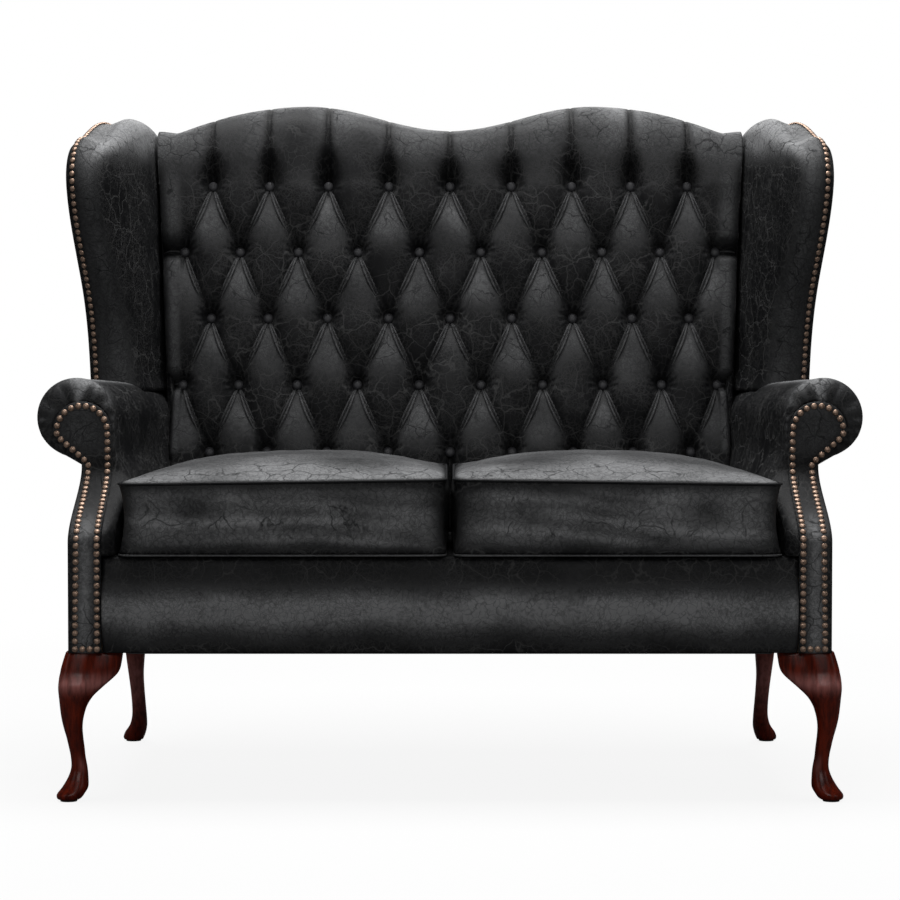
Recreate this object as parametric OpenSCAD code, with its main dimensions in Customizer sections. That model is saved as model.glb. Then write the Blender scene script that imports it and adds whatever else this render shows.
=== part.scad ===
// High-back two-seat wing settee with a deep-buttoned serpentine back.
// Millimetres. +Z is up, the front faces -Y, and the floor is at Z = 0.

/* [Overall] */
// Half the width over the outside of the arms, at the front
front_half_w = 589; // [550:1:640]
// Distance from the middle of the depth to the front face
front_reach = 400; // [370:1:430]
// Distance from the middle of the depth to the rear of the back frame, at the underside of the frame
rear_reach = 216; // [195:1:235]
// Height of the frame's underside above the floor
frame_z = 231; // [190:1:270]
// Lean of the back from upright, in degrees
back_rake = 12; // [9:0.5:14]
// Share of the depth by which the outside of each arm draws in toward the rear
side_draw_share = 0.025; // [0.015:0.005:0.04]

/* [Seat frame] */
// Height of the seat rails
rail_h = 113; // [90:1:125]
// Thickness of the seat rails and of the arm posts
rail_t = 30; // [24:1:36]
// Depth of the padding between the front border's face and the front rail
border_t = 22; // [16:1:30]
// Height of the padded deck's top above the frame's underside
deck_rise = 150; // [140:1:165]
// Depth of the firm front edge of the seat
edge_w = 42; // [34:1:60]
// Rounding of the front edge of the seat
edge_r = 10; // [6:1:14]
// How far the middle of the front border swells out
border_belly = 5; // [2:1:8]
// Width of the centre brace
brace_w = 60; // [40:1:80]
// Height of the centre brace
brace_h = 70; // [50:1:90]
// Length of each leg of a corner block
block_l = 70; // [50:1:90]
// Height of the corner blocks
block_h = 60; // [40:1:90]
// Width of a webbing strap
strap_w = 50; // [40:1:60]
// Thickness of a webbing strap
strap_t = 2; // [1.5:0.5:3]
// Number of seat straps that run from front to rear
deep_straps = 9; // [6:1:9]
// Number of seat straps that run from side to side
cross_straps = 4; // [3:1:5]
// Thickness of the dust cover under the seat
dust_t = 1; // [0.8:0.1:2]

/* [Seat cushions] */
// Half the width over both cushions, at the front
cushion_half_w = 516; // [480:1:525]
// How far each cushion's outer side draws in from front to rear
cushion_draw = 42; // [30:1:55]
// Depth of a cushion
cushion_d = 521; // [480:1:522]
// Height of a cushion's border, from its lower to its upper piping
cushion_h = 114; // [90:1:130]
// Height of the crown above the upper piping
crown_h = 39; // [20:1:50]
// How far the cushion's front stands in front of the border
cushion_proud = 3; // [0:1:6]
// How far the cushion's sides are drawn in between the pipings
draw_in = 6; // [2:1:10]
// Radius of the piping
piping_r = 3.5; // [2:0.5:5]
// Space between the two cushions
cushion_gap = 5; // [3:1:10]
// Rounding of a cushion's corners, seen from above
cushion_corner = 26; // [16:1:40]

/* [Arms] */
// Height of the arm's top at the scroll
arm_h = 653; // [630:1:680]
// Radius of the arm's roll
roll_r = 63; // [56:1:70]
// Thickness of the arm at the front, below the roll
arm_front_t = 52; // [50:1:60]
// Thickness of the padding on the inside of the arm
arm_pad_t = 18; // [12:1:20]
// Thickness of the covered outside panels
panel_t = 4; // [3:0.5:6]
// How far the scroll stands behind the front face
scroll_setback = 150; // [120:1:170]
// Height above the frame's underside where the arm's front starts to slope back
slope_start = 171; // [155:1:180]
// Height over which the arm's front slopes back
slope_h = 112; // [90:1:115]
// Height of the neck between the outside panel and the roll
neck_h = 17; // [12:1:24]
// How far the roll falls toward the rear
arm_fall = 21; // [10:1:30]
// Share of the depth by which the inside of each arm draws in further, behind the scroll
arm_draw_share = 0.105; // [0.085:0.005:0.115]
// Width of the arm post, from its front to its rear edge
post_w = 54; // [44:1:64]
// Thickness of the arm rail
arm_rail_t = 22; // [18:1:28]
// Height of the inner tack rail
tack_h = 28; // [20:1:34]
// Thickness of the inner tack rail
tack_t = 18; // [14:1:20]

/* [Arm facings] */
// Thickness of the facing
facing_t = 6; // [4:0.5:8]
// Radius of the round top of the facing
facing_r = 47; // [40:1:50]
// Height of the middle of the round top above the floor
facing_z = 569; // [555:1:580]
// Width of the bevel along the facing's edge
facing_bevel = 3; // [2:0.5:4]

/* [Back] */
// Thickness of the back frame
back_t = 45; // [38:1:50]
// Width of a back post
back_post_w = 48; // [38:1:52]
// Depth from the rear of the back frame to the button plane
button_plane = 122; // [115:1:130]
// How far the leather stands out between the buttons
tuft_d = 26; // [16:1:30]
// Height of the lowest row of buttons, along the back
low_row_h = 269; // [262:1:276]
// Distance between two rows of buttons, along the back
row_pitch = 117.7; // [112:0.1:120]
// Distance between two buttons of a row, at the middle
button_pitch = 107.3; // [104:0.1:108]
// Share by which the pitch of the buttons closes up toward the sides
pitch_close_share = 0.0021; // [0:0.0001:0.003]
// Radius of a button
button_r = 11; // [8:0.5:12]
// Height of a button
button_h = 7; // [5:0.5:9]
// Height of the crest's middle dip, along the back
crest_dip_h = 851; // [840:1:870]
// How far the crest's two humps rise above the middle dip
crest_rise = 46; // [30:1:55]
// How far the crest falls from a hump to its outer end
crest_fall = 52; // [30:1:60]
// Distance of each hump from the middle
hump_x = 248; // [230:1:265]
// Distance of the crest's outer ends from the middle
crest_end_x = 480; // [470:1:490]
// Padding over the crest rail
crest_pad = 20; // [14:1:26]
// Height of the crest rail at its lowest
crest_rail_h = 62; // [50:1:80]
// Height of the stuffing rail that closes the back above the seat
stuffing_rail_h = 55; // [45:1:65]
// Thickness of the rails between the back posts
back_rail_t = 30; // [24:1:34]
// Half the width of the back pad where the arms end
low_half_w = 476; // [470:1:480]
// Half the width of the back pad at the foot of the wings
mid_half_w = 489; // [482:1:492]
// Thickness of the wing where it meets the crest
wing_rear_t = 75.4; // [68:0.1:84]

/* [Wings] */
// Height of the wing's foot above the floor
wing_base_z = 624; // [618:1:630]
// Share of the height by which the wing leans outward
wing_lean_share = 0.022; // [0.015:0.001:0.03]
// Share of the depth by which the wing splays outward to the front
wing_splay_share = 0.135; // [0.12:0.001:0.145]
// Depth of the wing's foot, in front of the middle of the depth when negative
wing_foot_y = 50; // [30:1:70]
// How far the wing's nose stands in front of its foot
wing_nose_out = 102; // [80:1:115]
// Height of the crest's dip above the wing's nose
wing_nose_drop = 93.4; // [80:0.1:110]
// Length of the rounded front corner of the wing's top
wing_corner_l = 92; // [70:1:110]
// Height of the rounded front corner of the wing's top
wing_corner_h = 84; // [74:1:96]
// Rise of the wing's top line from the corner to the back
wing_top_rise = 30; // [20:1:36]
// How far the wing's top line humps above that
wing_hump = 25; // [16:1:28]
// Thickness of the padded wing at its front
wing_t = 57; // [50:1:64]
// Width of the roll round the wing's edge
wing_roll = 34; // [30:1:40]
// Thickness of the wing board
wing_board_t = 22; // [18:1:24]

/* [Nails] */
// Radius of a nail's head
nail_r = 5.4; // [4:0.1:5.8]
// Height of a nail's head
nail_h = 3.2; // [2.4:0.1:4]
// Distance between nails
nail_pitch = 12.3; // [12:0.1:16]
// Distance of the nails from a facing's edge
nail_margin = 7; // [6:0.5:9]

/* [Legs] */
// Thickness of a foot's glide
glide_h = 3; // [2:0.5:5]
// Radius of a foot's glide
glide_r = 13; // [9:0.5:15]
// Half the width of the front leg at its top
knee_a = 23; // [20:1:26]
// Half the width of the front leg at its ankle
ankle_a = 11.5; // [10:0.5:14]
// How far the leg's top stands out past the arm's facing
knee_out = 9; // [2:1:12]
// How far each ear of the knee reaches under the frame
ear_l = 42; // [30:1:50]
// How far the front foot stands out from the middle of the leg's top
toe_out = 16; // [8:1:20]
// Half the width of the rear leg at its top
rear_top_a = 21; // [18:1:22]
// Half the width of the rear leg at its thinnest
rear_ankle_a = 12; // [10:0.5:14]
// How far the rear foot sweeps back
rear_sweep = 92; // [70:1:110]
// How far the rear foot stands out sideways
rear_out = 15; // [10:1:22]

/* [Hidden] */
leather = "#26262a";
timber = "#c9a878";
jute = "#b79b6c";
brass = "#6e5335";
mahogany = "#4a1410";
felt = "#2f2a26";
// Running gap between soft pieces and their neighbours
fit = 0.3;
// Reach of a cutting block
reach = 2000;
// Short step along a surface, used to find its direction
probe = 1;
rail_top = frame_z + rail_h;
deck_z = frame_z + deck_rise;
post_base_y = facing_t - front_reach;
scroll_y = scroll_setback - front_reach;
rake_tan = tan(back_rake);
half_row = 0.5;

// Shared rules of the outline

function lerp(a, b, t) = a + (b - a) * t;
function clamp(t) = min(1, max(0, t));
function smooth(t) = let (c = clamp(t)) c * c * (3 - 2 * c);
// Outer face of the arm at depth y
function side_x(y) = front_half_w - side_draw_share * (y + front_reach);
// Inner face of the padded arm at depth y
function inner_x(y) = side_x(y) - arm_front_t - arm_draw_share * max(0, y - scroll_y);
// Inner face of the outside panel, which is the outer face of the frame
function frame_x(y) = side_x(y) - panel_t;
// Rear face of the back frame at height z, and the front face of its posts
function rear_y(z) = rear_reach + (z - frame_z) * rake_tan;
function post_front_y(z) = rear_y(z) - back_t / cos(back_rake);
// Front line of the arm in side view
function front_line(z) = scroll_setback * smooth((z - frame_z - slope_start) / slope_h) - front_reach;
function post_line(z) = front_line(z) + facing_t;
// Heights that trace the slope closely, shared by everything that follows it
slope_steps = 14;
slope_zs = [
    for (i = [0 : slope_steps]) frame_z + slope_start + slope_h * (1 - cos(180 * i / slope_steps)) / 2
];
// Middle of the arm's roll at the share s of its length, and the top of the arm rail there
function roll_z(s) = arm_h - roll_r - arm_fall * s;
function seat_of_roll(s) = roll_z(s) - roll_r - neck_h;
// Half the width of the back pad at height z
function pad_half_w(z) = z < arm_h
    ? lerp(low_half_w, mid_half_w, clamp((z - wing_base_z) / (arm_h - wing_base_z)))
    : lerp(mid_half_w, top_half_w, clamp((z - arm_h) / (crest_dip_h * cos(back_rake) + frame_z - arm_h)));
// Outer face of the wing
wing_root_x = side_x(rear_y(wing_base_z));
function wing_out(y, z) = wing_root_x + wing_lean_share * (z - wing_base_z) + wing_splay_share * (rear_y(z) - y);
wing_nose_y = wing_foot_y - wing_nose_out;
// Half the width of the back pad at the crest
crest_dip_z = crest_dip_h * cos(back_rake) + frame_z;
top_half_w = wing_out(post_front_y(crest_dip_z), crest_dip_z) - wing_rear_t;
function wing_in(y, z) = lerp(wing_out(y, z) - wing_t, pad_half_w(z) + fit,
    clamp((y - wing_nose_y) / (post_front_y(z) - wing_nose_y)));
// Height of the crest along the back, at x
function crest_h(x) = abs(x) < hump_x
    ? crest_dip_h + crest_rise * (1 - cos(180 * abs(x) / hump_x)) / 2
    : crest_dip_h + crest_rise - crest_fall * pow(clamp((abs(x) - hump_x) / (crest_end_x - hump_x)), 2);
// A point of the back's own plane: across, in front of the frame's rear face when negative, and up along it
function raked(x, w, h) = [
    x,
    rear_reach + w * cos(back_rake) + h * sin(back_rake),
    frame_z - w * sin(back_rake) + h * cos(back_rake)
];

// Helpers

function flat(v) = [for (row = v) for (p = row) p];
function last(v) = v[len(v) - 1];
function backward(v) = [for (i = [len(v) - 1 : -1 : 0]) v[i]];
function total(v) = v * [for (p = v) 1];
function middle(ring) = [for (axis = [0 : 2]) total([for (p = ring) p[axis]]) / len(ring)];
function run_lengths(path) = [
    for (i = 0, s = 0; i < len(path); s = s + (i + 1 < len(path) ? norm(path[i + 1] - path[i]) : 0), i = i + 1) s
];
// Points at an even spacing along a path
function walk(path, pitch) = let (
    c = run_lengths(path),
    n = round(last(c) / pitch)
) [
    for (k = [0 : n]) let (s = k * last(c) / n) [
        for (axis = [0 : 2]) lookup(s, [for (i = [0 : len(path) - 1]) [c[i], path[i][axis]]])
    ]
];

// A closed skin through rings of equal count. Its end caps are "zip", which joins the ring's two halves
// across, "ladder", which does so along the other diagonals, "fan", which fans out from the ring's first
// point, or "centre", which fans out from its middle.
// Up to the point named by knee, a fan starts from the ring's second point.
module skin(rings, cap_form = "zip", knee = 2) {
    n = len(rings[0]);
    m = len(rings);
    centred = cap_form == "centre";
    sides = [
        for (i = [0 : m - 2]) for (j = [0 : n - 1]) let (k = (j + 1) % n) each [
            [i * n + j, i * n + k, (i + 1) * n + k],
            [i * n + j, (i + 1) * n + k, (i + 1) * n + j]
        ]
    ];
    cap = cap_form == "zip"
        ? [for (i = [0 : n / 2 - 2]) each [[i, i + 1, n - 2 - i], [i, n - 2 - i, n - 1 - i]]]
        : cap_form == "ladder"
        ? [for (i = [0 : n / 2 - 2]) each [[i, i + 1, n - 1 - i], [i + 1, n - 2 - i, n - 1 - i]]]
        : cap_form == "fan" ? concat(
            [for (i = [2 : 1 : knee - 1]) [1, i, i + 1]],
            [[0, 1, knee]],
            [for (i = [knee : n - 2]) [0, i, i + 1]]
        )
        : [];
    first = centred
        ? [for (j = [0 : n - 1]) [m * n, (j + 1) % n, j]]
        : [for (f = cap) [f[2], f[1], f[0]]];
    final = centred
        ? [for (j = [0 : n - 1]) [m * n + 1, (m - 1) * n + j, (m - 1) * n + (j + 1) % n]]
        : [for (f = cap) [for (v = f) v + (m - 1) * n]];
    middles = centred ? [middle(rings[0]), middle(rings[m - 1])] : [];
    polyhedron(points = concat(flat(rings), middles), faces = concat(sides, first, final));
}

module back_plane() {
    translate([0, rear_reach, frame_z]) rotate([-back_rake, 0, 0]) children();
}

// A flat outline in the back's plane, from w1 in front of the frame's rear face back to w2
module back_board(outline, w1, w2) {
    back_plane() translate([0, w2, 0]) rotate([90, 0, 0]) linear_extrude(w2 - w1) polygon(outline);
}

module right_and_left(side) {
    mirror([side < 0 ? 1 : 0, 0, 0]) children();
}

module below_frame() {
    translate([-reach / 2, -reach / 2, frame_z - reach]) cube(reach);
}

module above_rails() {
    translate([-reach / 2, -reach / 2, rail_top]) cube(reach);
}

// Everything behind the front face of the back frame
module behind_back() {
    back_plane() translate([-reach / 2, -back_t, -reach / 2]) cube(reach);
}

// Seat frame

front_rail_y = border_t - front_reach;
post_in_x = frame_x(front_rail_y + rail_t) - rail_t;

module front_rail() {
    color(timber)
    translate([-post_in_x, front_rail_y, frame_z]) cube([2 * post_in_x, rail_t, rail_h]);
}

post_outer_x = frame_x(rear_y(wing_base_z));
function post_lean(h) = wing_lean_share * max(0, h * cos(back_rake) + frame_z - wing_base_z);
post_top_h = crest_h(crest_end_x) - crest_pad;
wing_foot_h = (wing_base_z - frame_z) / cos(back_rake);
function post_inner_x(h) = post_outer_x - back_post_w + post_lean(h);

module rear_rail() {
    w = post_inner_x(0);
    color(timber)
    difference() {
        back_board([[-w, -back_t], [w, -back_t], [w, rail_h + back_t], [-w, rail_h + back_t]], -back_t,
            back_rail_t - back_t);
        below_frame();
        above_rails();
    }
}

module side_rail(side) {
    function end(y1, y2) = [
        [frame_x(y1) - rail_t, y1, frame_z], [frame_x(y1), y1, frame_z],
        [frame_x(y2), y2, rail_top], [frame_x(y2) - rail_t, y2, rail_top]
    ];
    y = post_base_y + post_w;
    color(timber)
    right_and_left(side) skin([end(y, y), end(post_front_y(frame_z), post_front_y(rail_top))]);
}

module left_side_rail() { side_rail(-1); }
module right_side_rail() { side_rail(1); }

module centre_brace() {
    y = front_rail_y + rail_t;
    color(timber)
    difference() {
        translate([-brace_w / 2, y, frame_z]) cube([brace_w, rear_reach - y, brace_h]);
        behind_back();
    }
}

module corner_blocks() {
    x = frame_x(post_base_y + post_w + block_l) - rail_t;
    y = front_rail_y + rail_t;
    rear_z = frame_z + block_h;
    xr = frame_x(post_front_y(rear_z)) - rail_t;
    yr = post_front_y(frame_z);
    color(timber)
    for (side = [-1, 1]) right_and_left(side) {
        translate([0, 0, frame_z]) linear_extrude(block_h) polygon([[x, y], [x - block_l, y], [x, y + block_l]]);
        difference() {
            translate([0, 0, frame_z]) linear_extrude(block_h)
                polygon([[xr, yr + block_l], [xr - block_l, yr + block_l], [xr - block_l, yr], [xr, yr - block_l]]);
            behind_back();
        }
    }
}

// Arm frame

module arm_post(side) {
    top_z = seat_of_roll(0) - arm_rail_t;
    zs = concat([frame_z], [for (z = slope_zs) if (z < top_z - probe) z], [top_z]);
    steps = len(zs) - 1;
    front = [for (z = zs) [post_line(z), z]];
    rear = [for (z = zs) [post_line(z) + post_w, z - arm_slope * post_w * clamp((z - rail_top) / (top_z - rail_top))]];
    outline = concat(front, [for (i = [0 : steps]) rear[steps - i]]);
    color(timber)
    right_and_left(side) skin([
        [for (p = outline) [frame_x(p[0]) - rail_t, p[0], p[1]]],
        [for (p = outline) [frame_x(p[0]), p[0], p[1]]]
    ]);
}

// Fall of the arm rail for each unit of depth
arm_slope = arm_fall / (post_front_y(seat_of_roll(1)) - scroll_y - facing_t);

module left_arm_post() { arm_post(-1); }
module right_arm_post() { arm_post(1); }

function arm_y(z, s) = lerp(post_line(z) + fit, post_front_y(z) - fit, s);
function rail_x(y) = inner_x(y) + arm_pad_t;

module arm_rail(side) {
    function end(s) = let (
        top = seat_of_roll(s),
        low = top - arm_rail_t,
        y1 = s == 0 ? scroll_y + facing_t : post_front_y(top),
        y2 = s == 0 ? scroll_y + facing_t : post_front_y(low)
    ) [[rail_x(y1), y1, top], [frame_x(y1), y1, top], [frame_x(y2), y2, low], [rail_x(y2), y2, low]];
    color(timber)
    right_and_left(side) skin([end(1), end(0)]);
}

module left_arm_rail() { arm_rail(-1); }
module right_arm_rail() { arm_rail(1); }

module tack_rail(side) {
    low = deck_z + strap_t;
    top = low + tack_h;
    function end(y1, y2) = [
        [rail_x(y1) + fit, y1, low], [rail_x(y1) + tack_t, y1, low],
        [rail_x(y2) + tack_t, y2, top], [rail_x(y2) + fit, y2, top]
    ];
    y = post_line(top + arm_slope * post_w) + post_w;
    color(timber)
    right_and_left(side) skin([
        end(y, y), end(max(y, scroll_y) + probe, max(y, scroll_y) + probe),
        end(post_front_y(low), post_front_y(top))
    ]);
}

module left_tack_rail() { tack_rail(-1); }
module right_tack_rail() { tack_rail(1); }

// Back frame

module back_post(side) {
    low = -back_t;
    outline = [
        [post_outer_x - back_post_w, low], [post_outer_x, low], [post_outer_x, wing_foot_h],
        [post_outer_x + post_lean(post_top_h), post_top_h], [post_inner_x(post_top_h), post_top_h],
        [post_outer_x - back_post_w, wing_foot_h]
    ];
    color(timber)
    right_and_left(side) difference() {
        back_board(outline, -back_t, 0);
        below_frame();
    }
}

module left_back_post() { back_post(-1); }
module right_back_post() { back_post(1); }

stuffing_h = (deck_z - frame_z) / cos(back_rake);

module stuffing_rail() {
    w = post_inner_x(0);
    h = stuffing_h;
    color(timber)
    back_board([[-w, h], [w, h], [w, h + stuffing_rail_h], [-w, h + stuffing_rail_h]], -back_t, back_rail_t - back_t);
}

crest_low_h = crest_dip_h - crest_pad - crest_rail_h;

module crest_rail() {
    steps = 40;
    w = post_inner_x(crest_low_h);
    wt = post_inner_x(post_top_h);
    top = [for (i = [0 : steps]) let (x = lerp(wt, -wt, i / steps)) [x, crest_h(x) - crest_pad]];
    color(timber)
    back_board(concat([[-w, crest_low_h], [w, crest_low_h]], top), -back_t, back_rail_t - back_t);
}

module back_stile() {
    w = brace_w / 2;
    low = stuffing_h + stuffing_rail_h;
    color(timber)
    back_board([[-w, low], [w, low], [w, crest_low_h], [-w, crest_low_h]], -back_t, back_rail_t - back_t);
}

// Webbing, deck and covers under the seat

module seat_webbing() {
    long = rear_y(rail_top) - back_t / 2 - front_rail_y;
    pitch = 2 * (post_in_x - strap_w) / (deep_straps - 1);
    cross_pitch = (long - 4 * strap_w) / (cross_straps - 1);
    color(jute) {
        for (i = [0 : deep_straps - 1])
            translate([(i - (deep_straps - 1) / 2) * pitch * pitch_share - strap_w / 2, front_rail_y, rail_top])
                cube([strap_w, long, strap_t]);
        for (i = [0 : cross_straps - 1]) {
            y = front_rail_y + 2 * strap_w + i * cross_pitch;
            w = frame_x(y + strap_w) - panel_t;
            translate([-w, y, rail_top + strap_t]) cube([2 * w, strap_w, strap_t]);
        }
    }
}
// Share of the width between the posts that the straps spread over
pitch_share = 0.94;

module seat_deck() {
    y1 = edge_w - front_reach + fit;
    y2 = post_front_y(rail_top + 2 * strap_t) - fit;
    x1 = frame_x(y1) - rail_t - fit;
    x2 = frame_x(y2) - rail_t - fit;
    low = rail_top + 2 * strap_t;
    color(leather)
    translate([0, 0, low]) linear_extrude(deck_z - low) polygon([[-x1, y1], [x1, y1], [x2, y2], [-x2, y2]]);
}

facing_in_x = inner_x(-front_reach);

module front_border() {
    steps = 10;
    y = -front_reach;
    low = frame_z;
    lip_z = rail_top + 2 * strap_t;
    face = [
        for (i = [0 : steps]) let (t = i / steps)
            [y + border_belly * pow(abs(2 * t - 1), 3), lerp(low, deck_z - edge_r, t)]
    ];
    round_edge = [
        for (a = [15 : 15 : 90])
            [y + border_belly + edge_r * (1 - cos(a)), deck_z - edge_r * (1 - sin(a))]
    ];
    w = facing_in_x - fit;
    color(leather)
    translate([-w, 0, 0]) rotate([90, 0, 90]) linear_extrude(2 * w)
        polygon(concat([[y + border_t, low]], face, round_edge,
            [[y + edge_w, deck_z], [y + edge_w, lip_z], [y + border_t, lip_z]]));
}

module dust_cover() {
    y1 = post_base_y;
    y2 = rear_y(frame_z);
    x1 = frame_x(y1);
    x2 = post_outer_x;
    corner = 2 * knee_a + ear_l;
    rear_corner = back_t + 2 * rear_ankle_a;
    color(felt)
    translate([0, 0, frame_z - dust_t]) linear_extrude(dust_t) polygon([
        [-x1 + corner, y1], [x1 - corner, y1], [x1 - corner, y1 + corner], [x1 - strap_t, y1 + corner],
        [x2 - strap_t, y2 - rear_corner], [x2 - rear_corner, y2 - rear_corner], [x2 - rear_corner, y2 - strap_t],
        [rear_corner - x2, y2 - strap_t], [rear_corner - x2, y2 - rear_corner], [strap_t - x2, y2 - rear_corner],
        [strap_t - x1, y1 + corner], [-x1 + corner, y1 + corner]
    ]);
}

// Upright straps lie in front of the rails, and cross straps run between the posts and the stile
module back_webbing() {
    columns = 7;
    rows = 5;
    pitch = 2 * (low_half_w - strap_w) / (columns - 1);
    low = stuffing_h + strap_t;
    high = crest_low_h + crest_rail_h / 2;
    first = stuffing_h + stuffing_rail_h + strap_w / 2;
    row_step = (crest_low_h - first - 3 * strap_w / 2) / (rows - 1);
    color(jute) {
        for (i = [0 : columns - 1]) let (x = (i - (columns - 1) / 2) * pitch)
            back_board([[x - strap_w / 2, low], [x + strap_w / 2, low], [x + strap_w / 2, high],
                [x - strap_w / 2, high]], -back_t - strap_t, -back_t);
        for (i = [0 : rows - 1]) for (side = [-1, 1]) let (h = first + i * row_step, x = brace_w / 2)
            back_board([[side * x, h], [side * post_inner_x(h), h], [side * post_inner_x(h + strap_w), h + strap_w],
                [side * x, h + strap_w]], -back_t, strap_t - back_t);
    }
}

// Buttoned back

// Across position of the column k, counted in button pitches from the middle
function column_x(k) = button_pitch * k * (1 - pitch_close_share * k * k);
// Share of the tuft's depth at column k and row r. It is nothing at a button, low along the folds
// that join the buttons crosswise, and full at the middle of each diamond.
ridge_share = 0.58;
function tuft_share(k, r) = let (
    a = k + r / 2,
    b = k - r / 2,
    seam = abs(sin(180 * a) * sin(180 * b)),
    dimple = 1 - abs(cos(180 * a) * cos(180 * b))
) ridge_share * sqrt(dimple) + (1 - ridge_share) * sqrt(seam);
rows = 5;
outer_column = 4.5;
cells = 6;
pad_rear = -back_t - strap_t - fit;
// Height share and rearward share of the points from the top row over the crest
crest_shape_shares = [[0.42, 0], [0.88, 0.15], [1, 0.48]];
pad_foot_share = 0.84;
edge_fade_share = 0.55;

// Side of the back pad at depth y and height z
function pad_edge(y, z) = z < wing_base_z ? inner_x(y) - 2 * fit : pad_half_w(z);

function pad_ring(k, edge) = let (
    kk = max(-outer_column, min(outer_column, k)),
    side = k < 0 ? -1 : 1,
    fade = edge ? edge_fade_share : 1,
    h1 = low_row_h + (rows - 1) * row_pitch,
    spot = function (w, h) let (p = raked(0, w, h)) [edge ? side * pad_edge(p[1], p[2]) : column_x(kk), p[1], p[2]],
    crest = crest_h(edge ? top_half_w : column_x(kk)),
    foot = (deck_z + fit - frame_z) / cos(back_rake),
    foot_w = -button_plane * pad_foot_share,
    top_w = -button_plane - tuft_d * fade * tuft_share(kk, rows - 1)
) concat(
    [
        spot(pad_rear, crest - crest_pad + 2 * fit),
        spot(pad_rear, wing_foot_h + pad_rear * rake_tan - fit),
        spot(pad_rear, foot + pad_rear * rake_tan + fit),
        spot(foot_w, foot + foot_w * rake_tan + fit)
    ],
    [
        for (i = [0 : (rows - 1) * cells / 2]) let (r = 2 * i / cells)
            spot(-button_plane - tuft_d * fade * tuft_share(kk, r), low_row_h + r * row_pitch)
    ],
    [for (s = crest_shape_shares) spot(lerp(top_w, 0, s[1]), lerp(h1, crest, s[0]))],
    [spot(0, crest - crest_pad + 2 * fit)]
);

module back_pad() {
    n = outer_column * cells;
    color(leather)
    skin(concat(
        [pad_ring(-outer_column, true)],
        [for (i = [-n : n]) pad_ring(i / cells, false)],
        [pad_ring(outer_column, true)]
    ), cap_form = "fan", knee = 4 + cells / 2);
}

module back_buttons() {
    // The padding rises to half its depth one cell away, across and along the rows
    function cell_w(k) = let (a = min(abs(k), outer_column - 1 / cells)) column_x(a + 1 / cells) - column_x(a);
    cell_h = 2 * row_pitch / cells;
    function lift(k) = tuft_d * half_row * button_r * norm([1 / cell_w(k), 1 / cell_h]);
    color(leather)
    for (r = [0 : rows - 1]) {
        shift = r % 2 == 0 ? 0 : half_row;
        count = r % 2 == 0 ? floor(outer_column) : floor(outer_column) + 1;
        for (i = [-count : count]) {
            k = i < 0 ? i + shift : i - shift;
            if (shift == 0 || i != 0)
                back_plane()
                    translate([column_x(k), -button_plane - lift(k) - fit, low_row_h + r * row_pitch])
                        rotate([90, 0, 0]) button();
        }
    }
}

module button() {
    rim = button_h * rim_share;
    ball = (button_r * button_r + (button_h - rim) * (button_h - rim)) / (2 * (button_h - rim));
    cylinder(h = rim, r = button_r);
    translate([0, 0, rim]) intersection() {
        translate([0, 0, button_h - rim - ball]) sphere(ball);
        cylinder(h = button_h, r = button_r);
    }
}
// Share of a button's height that is its rim
rim_share = 0.3;

module outside_back() {
    steps = 40;
    x_top = post_outer_x + post_lean(post_top_h);
    top = [
        for (i = [0 : steps]) let (x = lerp(x_top, -x_top, i / steps)) [x, crest_h(x) - crest_pad]
    ];
    color(leather)
    back_board(concat([[-post_outer_x, wing_foot_h], [-post_outer_x, 0], [post_outer_x, 0],
        [post_outer_x, wing_foot_h]], top), 0, panel_t);
}

module corner_pad(side) {
    low = post_top_h;
    high = (wing_rear_z - frame_z) / cos(back_rake);
    x1 = top_half_w + fit;
    x2 = post_outer_x + post_lean(post_top_h) - fit;
    r = (high - low) * corner_round_share;
    color(leather)
    right_and_left(side) back_board(concat(
        [[x1, low], [x2, low]],
        [for (a = [0 : 15 : 90]) [x2 - r + r * cos(a), high - r + r * sin(a)]],
        [[x1, high]]
    ), fit - back_t, 0);
}
// Share of the corner pad's height that its outer top edge is rounded by
corner_round_share = 0.7;

module left_corner_pad() { corner_pad(-1); }
module right_corner_pad() { corner_pad(1); }

// Wings

wing_nose_z = frame_z + crest_dip_h * cos(back_rake) - wing_nose_drop;
// Inset of the outside panel and of the board from the wing's outline
wing_hem = 15;
board_inset = 26;
edge_steps = 8;
// How late the front edge of the wing comes forward
nose_power = 1.5;
corner_steps = 6;
top_steps = 8;
wing_corner_y = wing_nose_y + wing_corner_l;
wing_corner_z = wing_nose_z + wing_corner_h;
// Height of the wing's top line at the share t from its corner to the back
function wing_top_z(t) = wing_corner_z + wing_top_rise * t + wing_hump * sin(180 * t);
wing_rear_z = wing_top_z(1);
// Side view of the wing's edge: up the front, round the corner and back along the top
wing_edge = concat(
    [for (i = [0 : edge_steps]) let (t = i / edge_steps)
        [lerp(wing_foot_y, wing_nose_y, pow(smooth(t), nose_power)), lerp(wing_base_z, wing_nose_z, t)]],
    [for (i = [1 : corner_steps]) let (a = 90 * i / corner_steps)
        [wing_corner_y - wing_corner_l * cos(a), wing_nose_z + wing_corner_h * sin(a)]],
    [for (i = [1 : top_steps]) let (t = i / top_steps)
        [lerp(wing_corner_y, post_front_y(wing_rear_z) - fit, t), wing_top_z(t)]]
);
wing_n = len(wing_edge);
function wing_way(i) = i == 0 ? [0, 1]
    : i == wing_n - 1 ? [cos(back_rake), -sin(back_rake)]
    : let (d = wing_edge[i + 1] - wing_edge[i - 1]) d / norm(d);
// The edge's point i, moved inward by d
function wing_inset(i, d) = let (w = wing_way(i)) wing_edge[i] + d * [w[1], -w[0]];
// The point of the wing's rear line that faces the edge's point i
function wing_rear(i, d) = let (
    z = lerp(wing_base_z, wing_rear_z - 2 * d, i / (wing_n - 1))
) [post_front_y(z) - fit, z];

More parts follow.
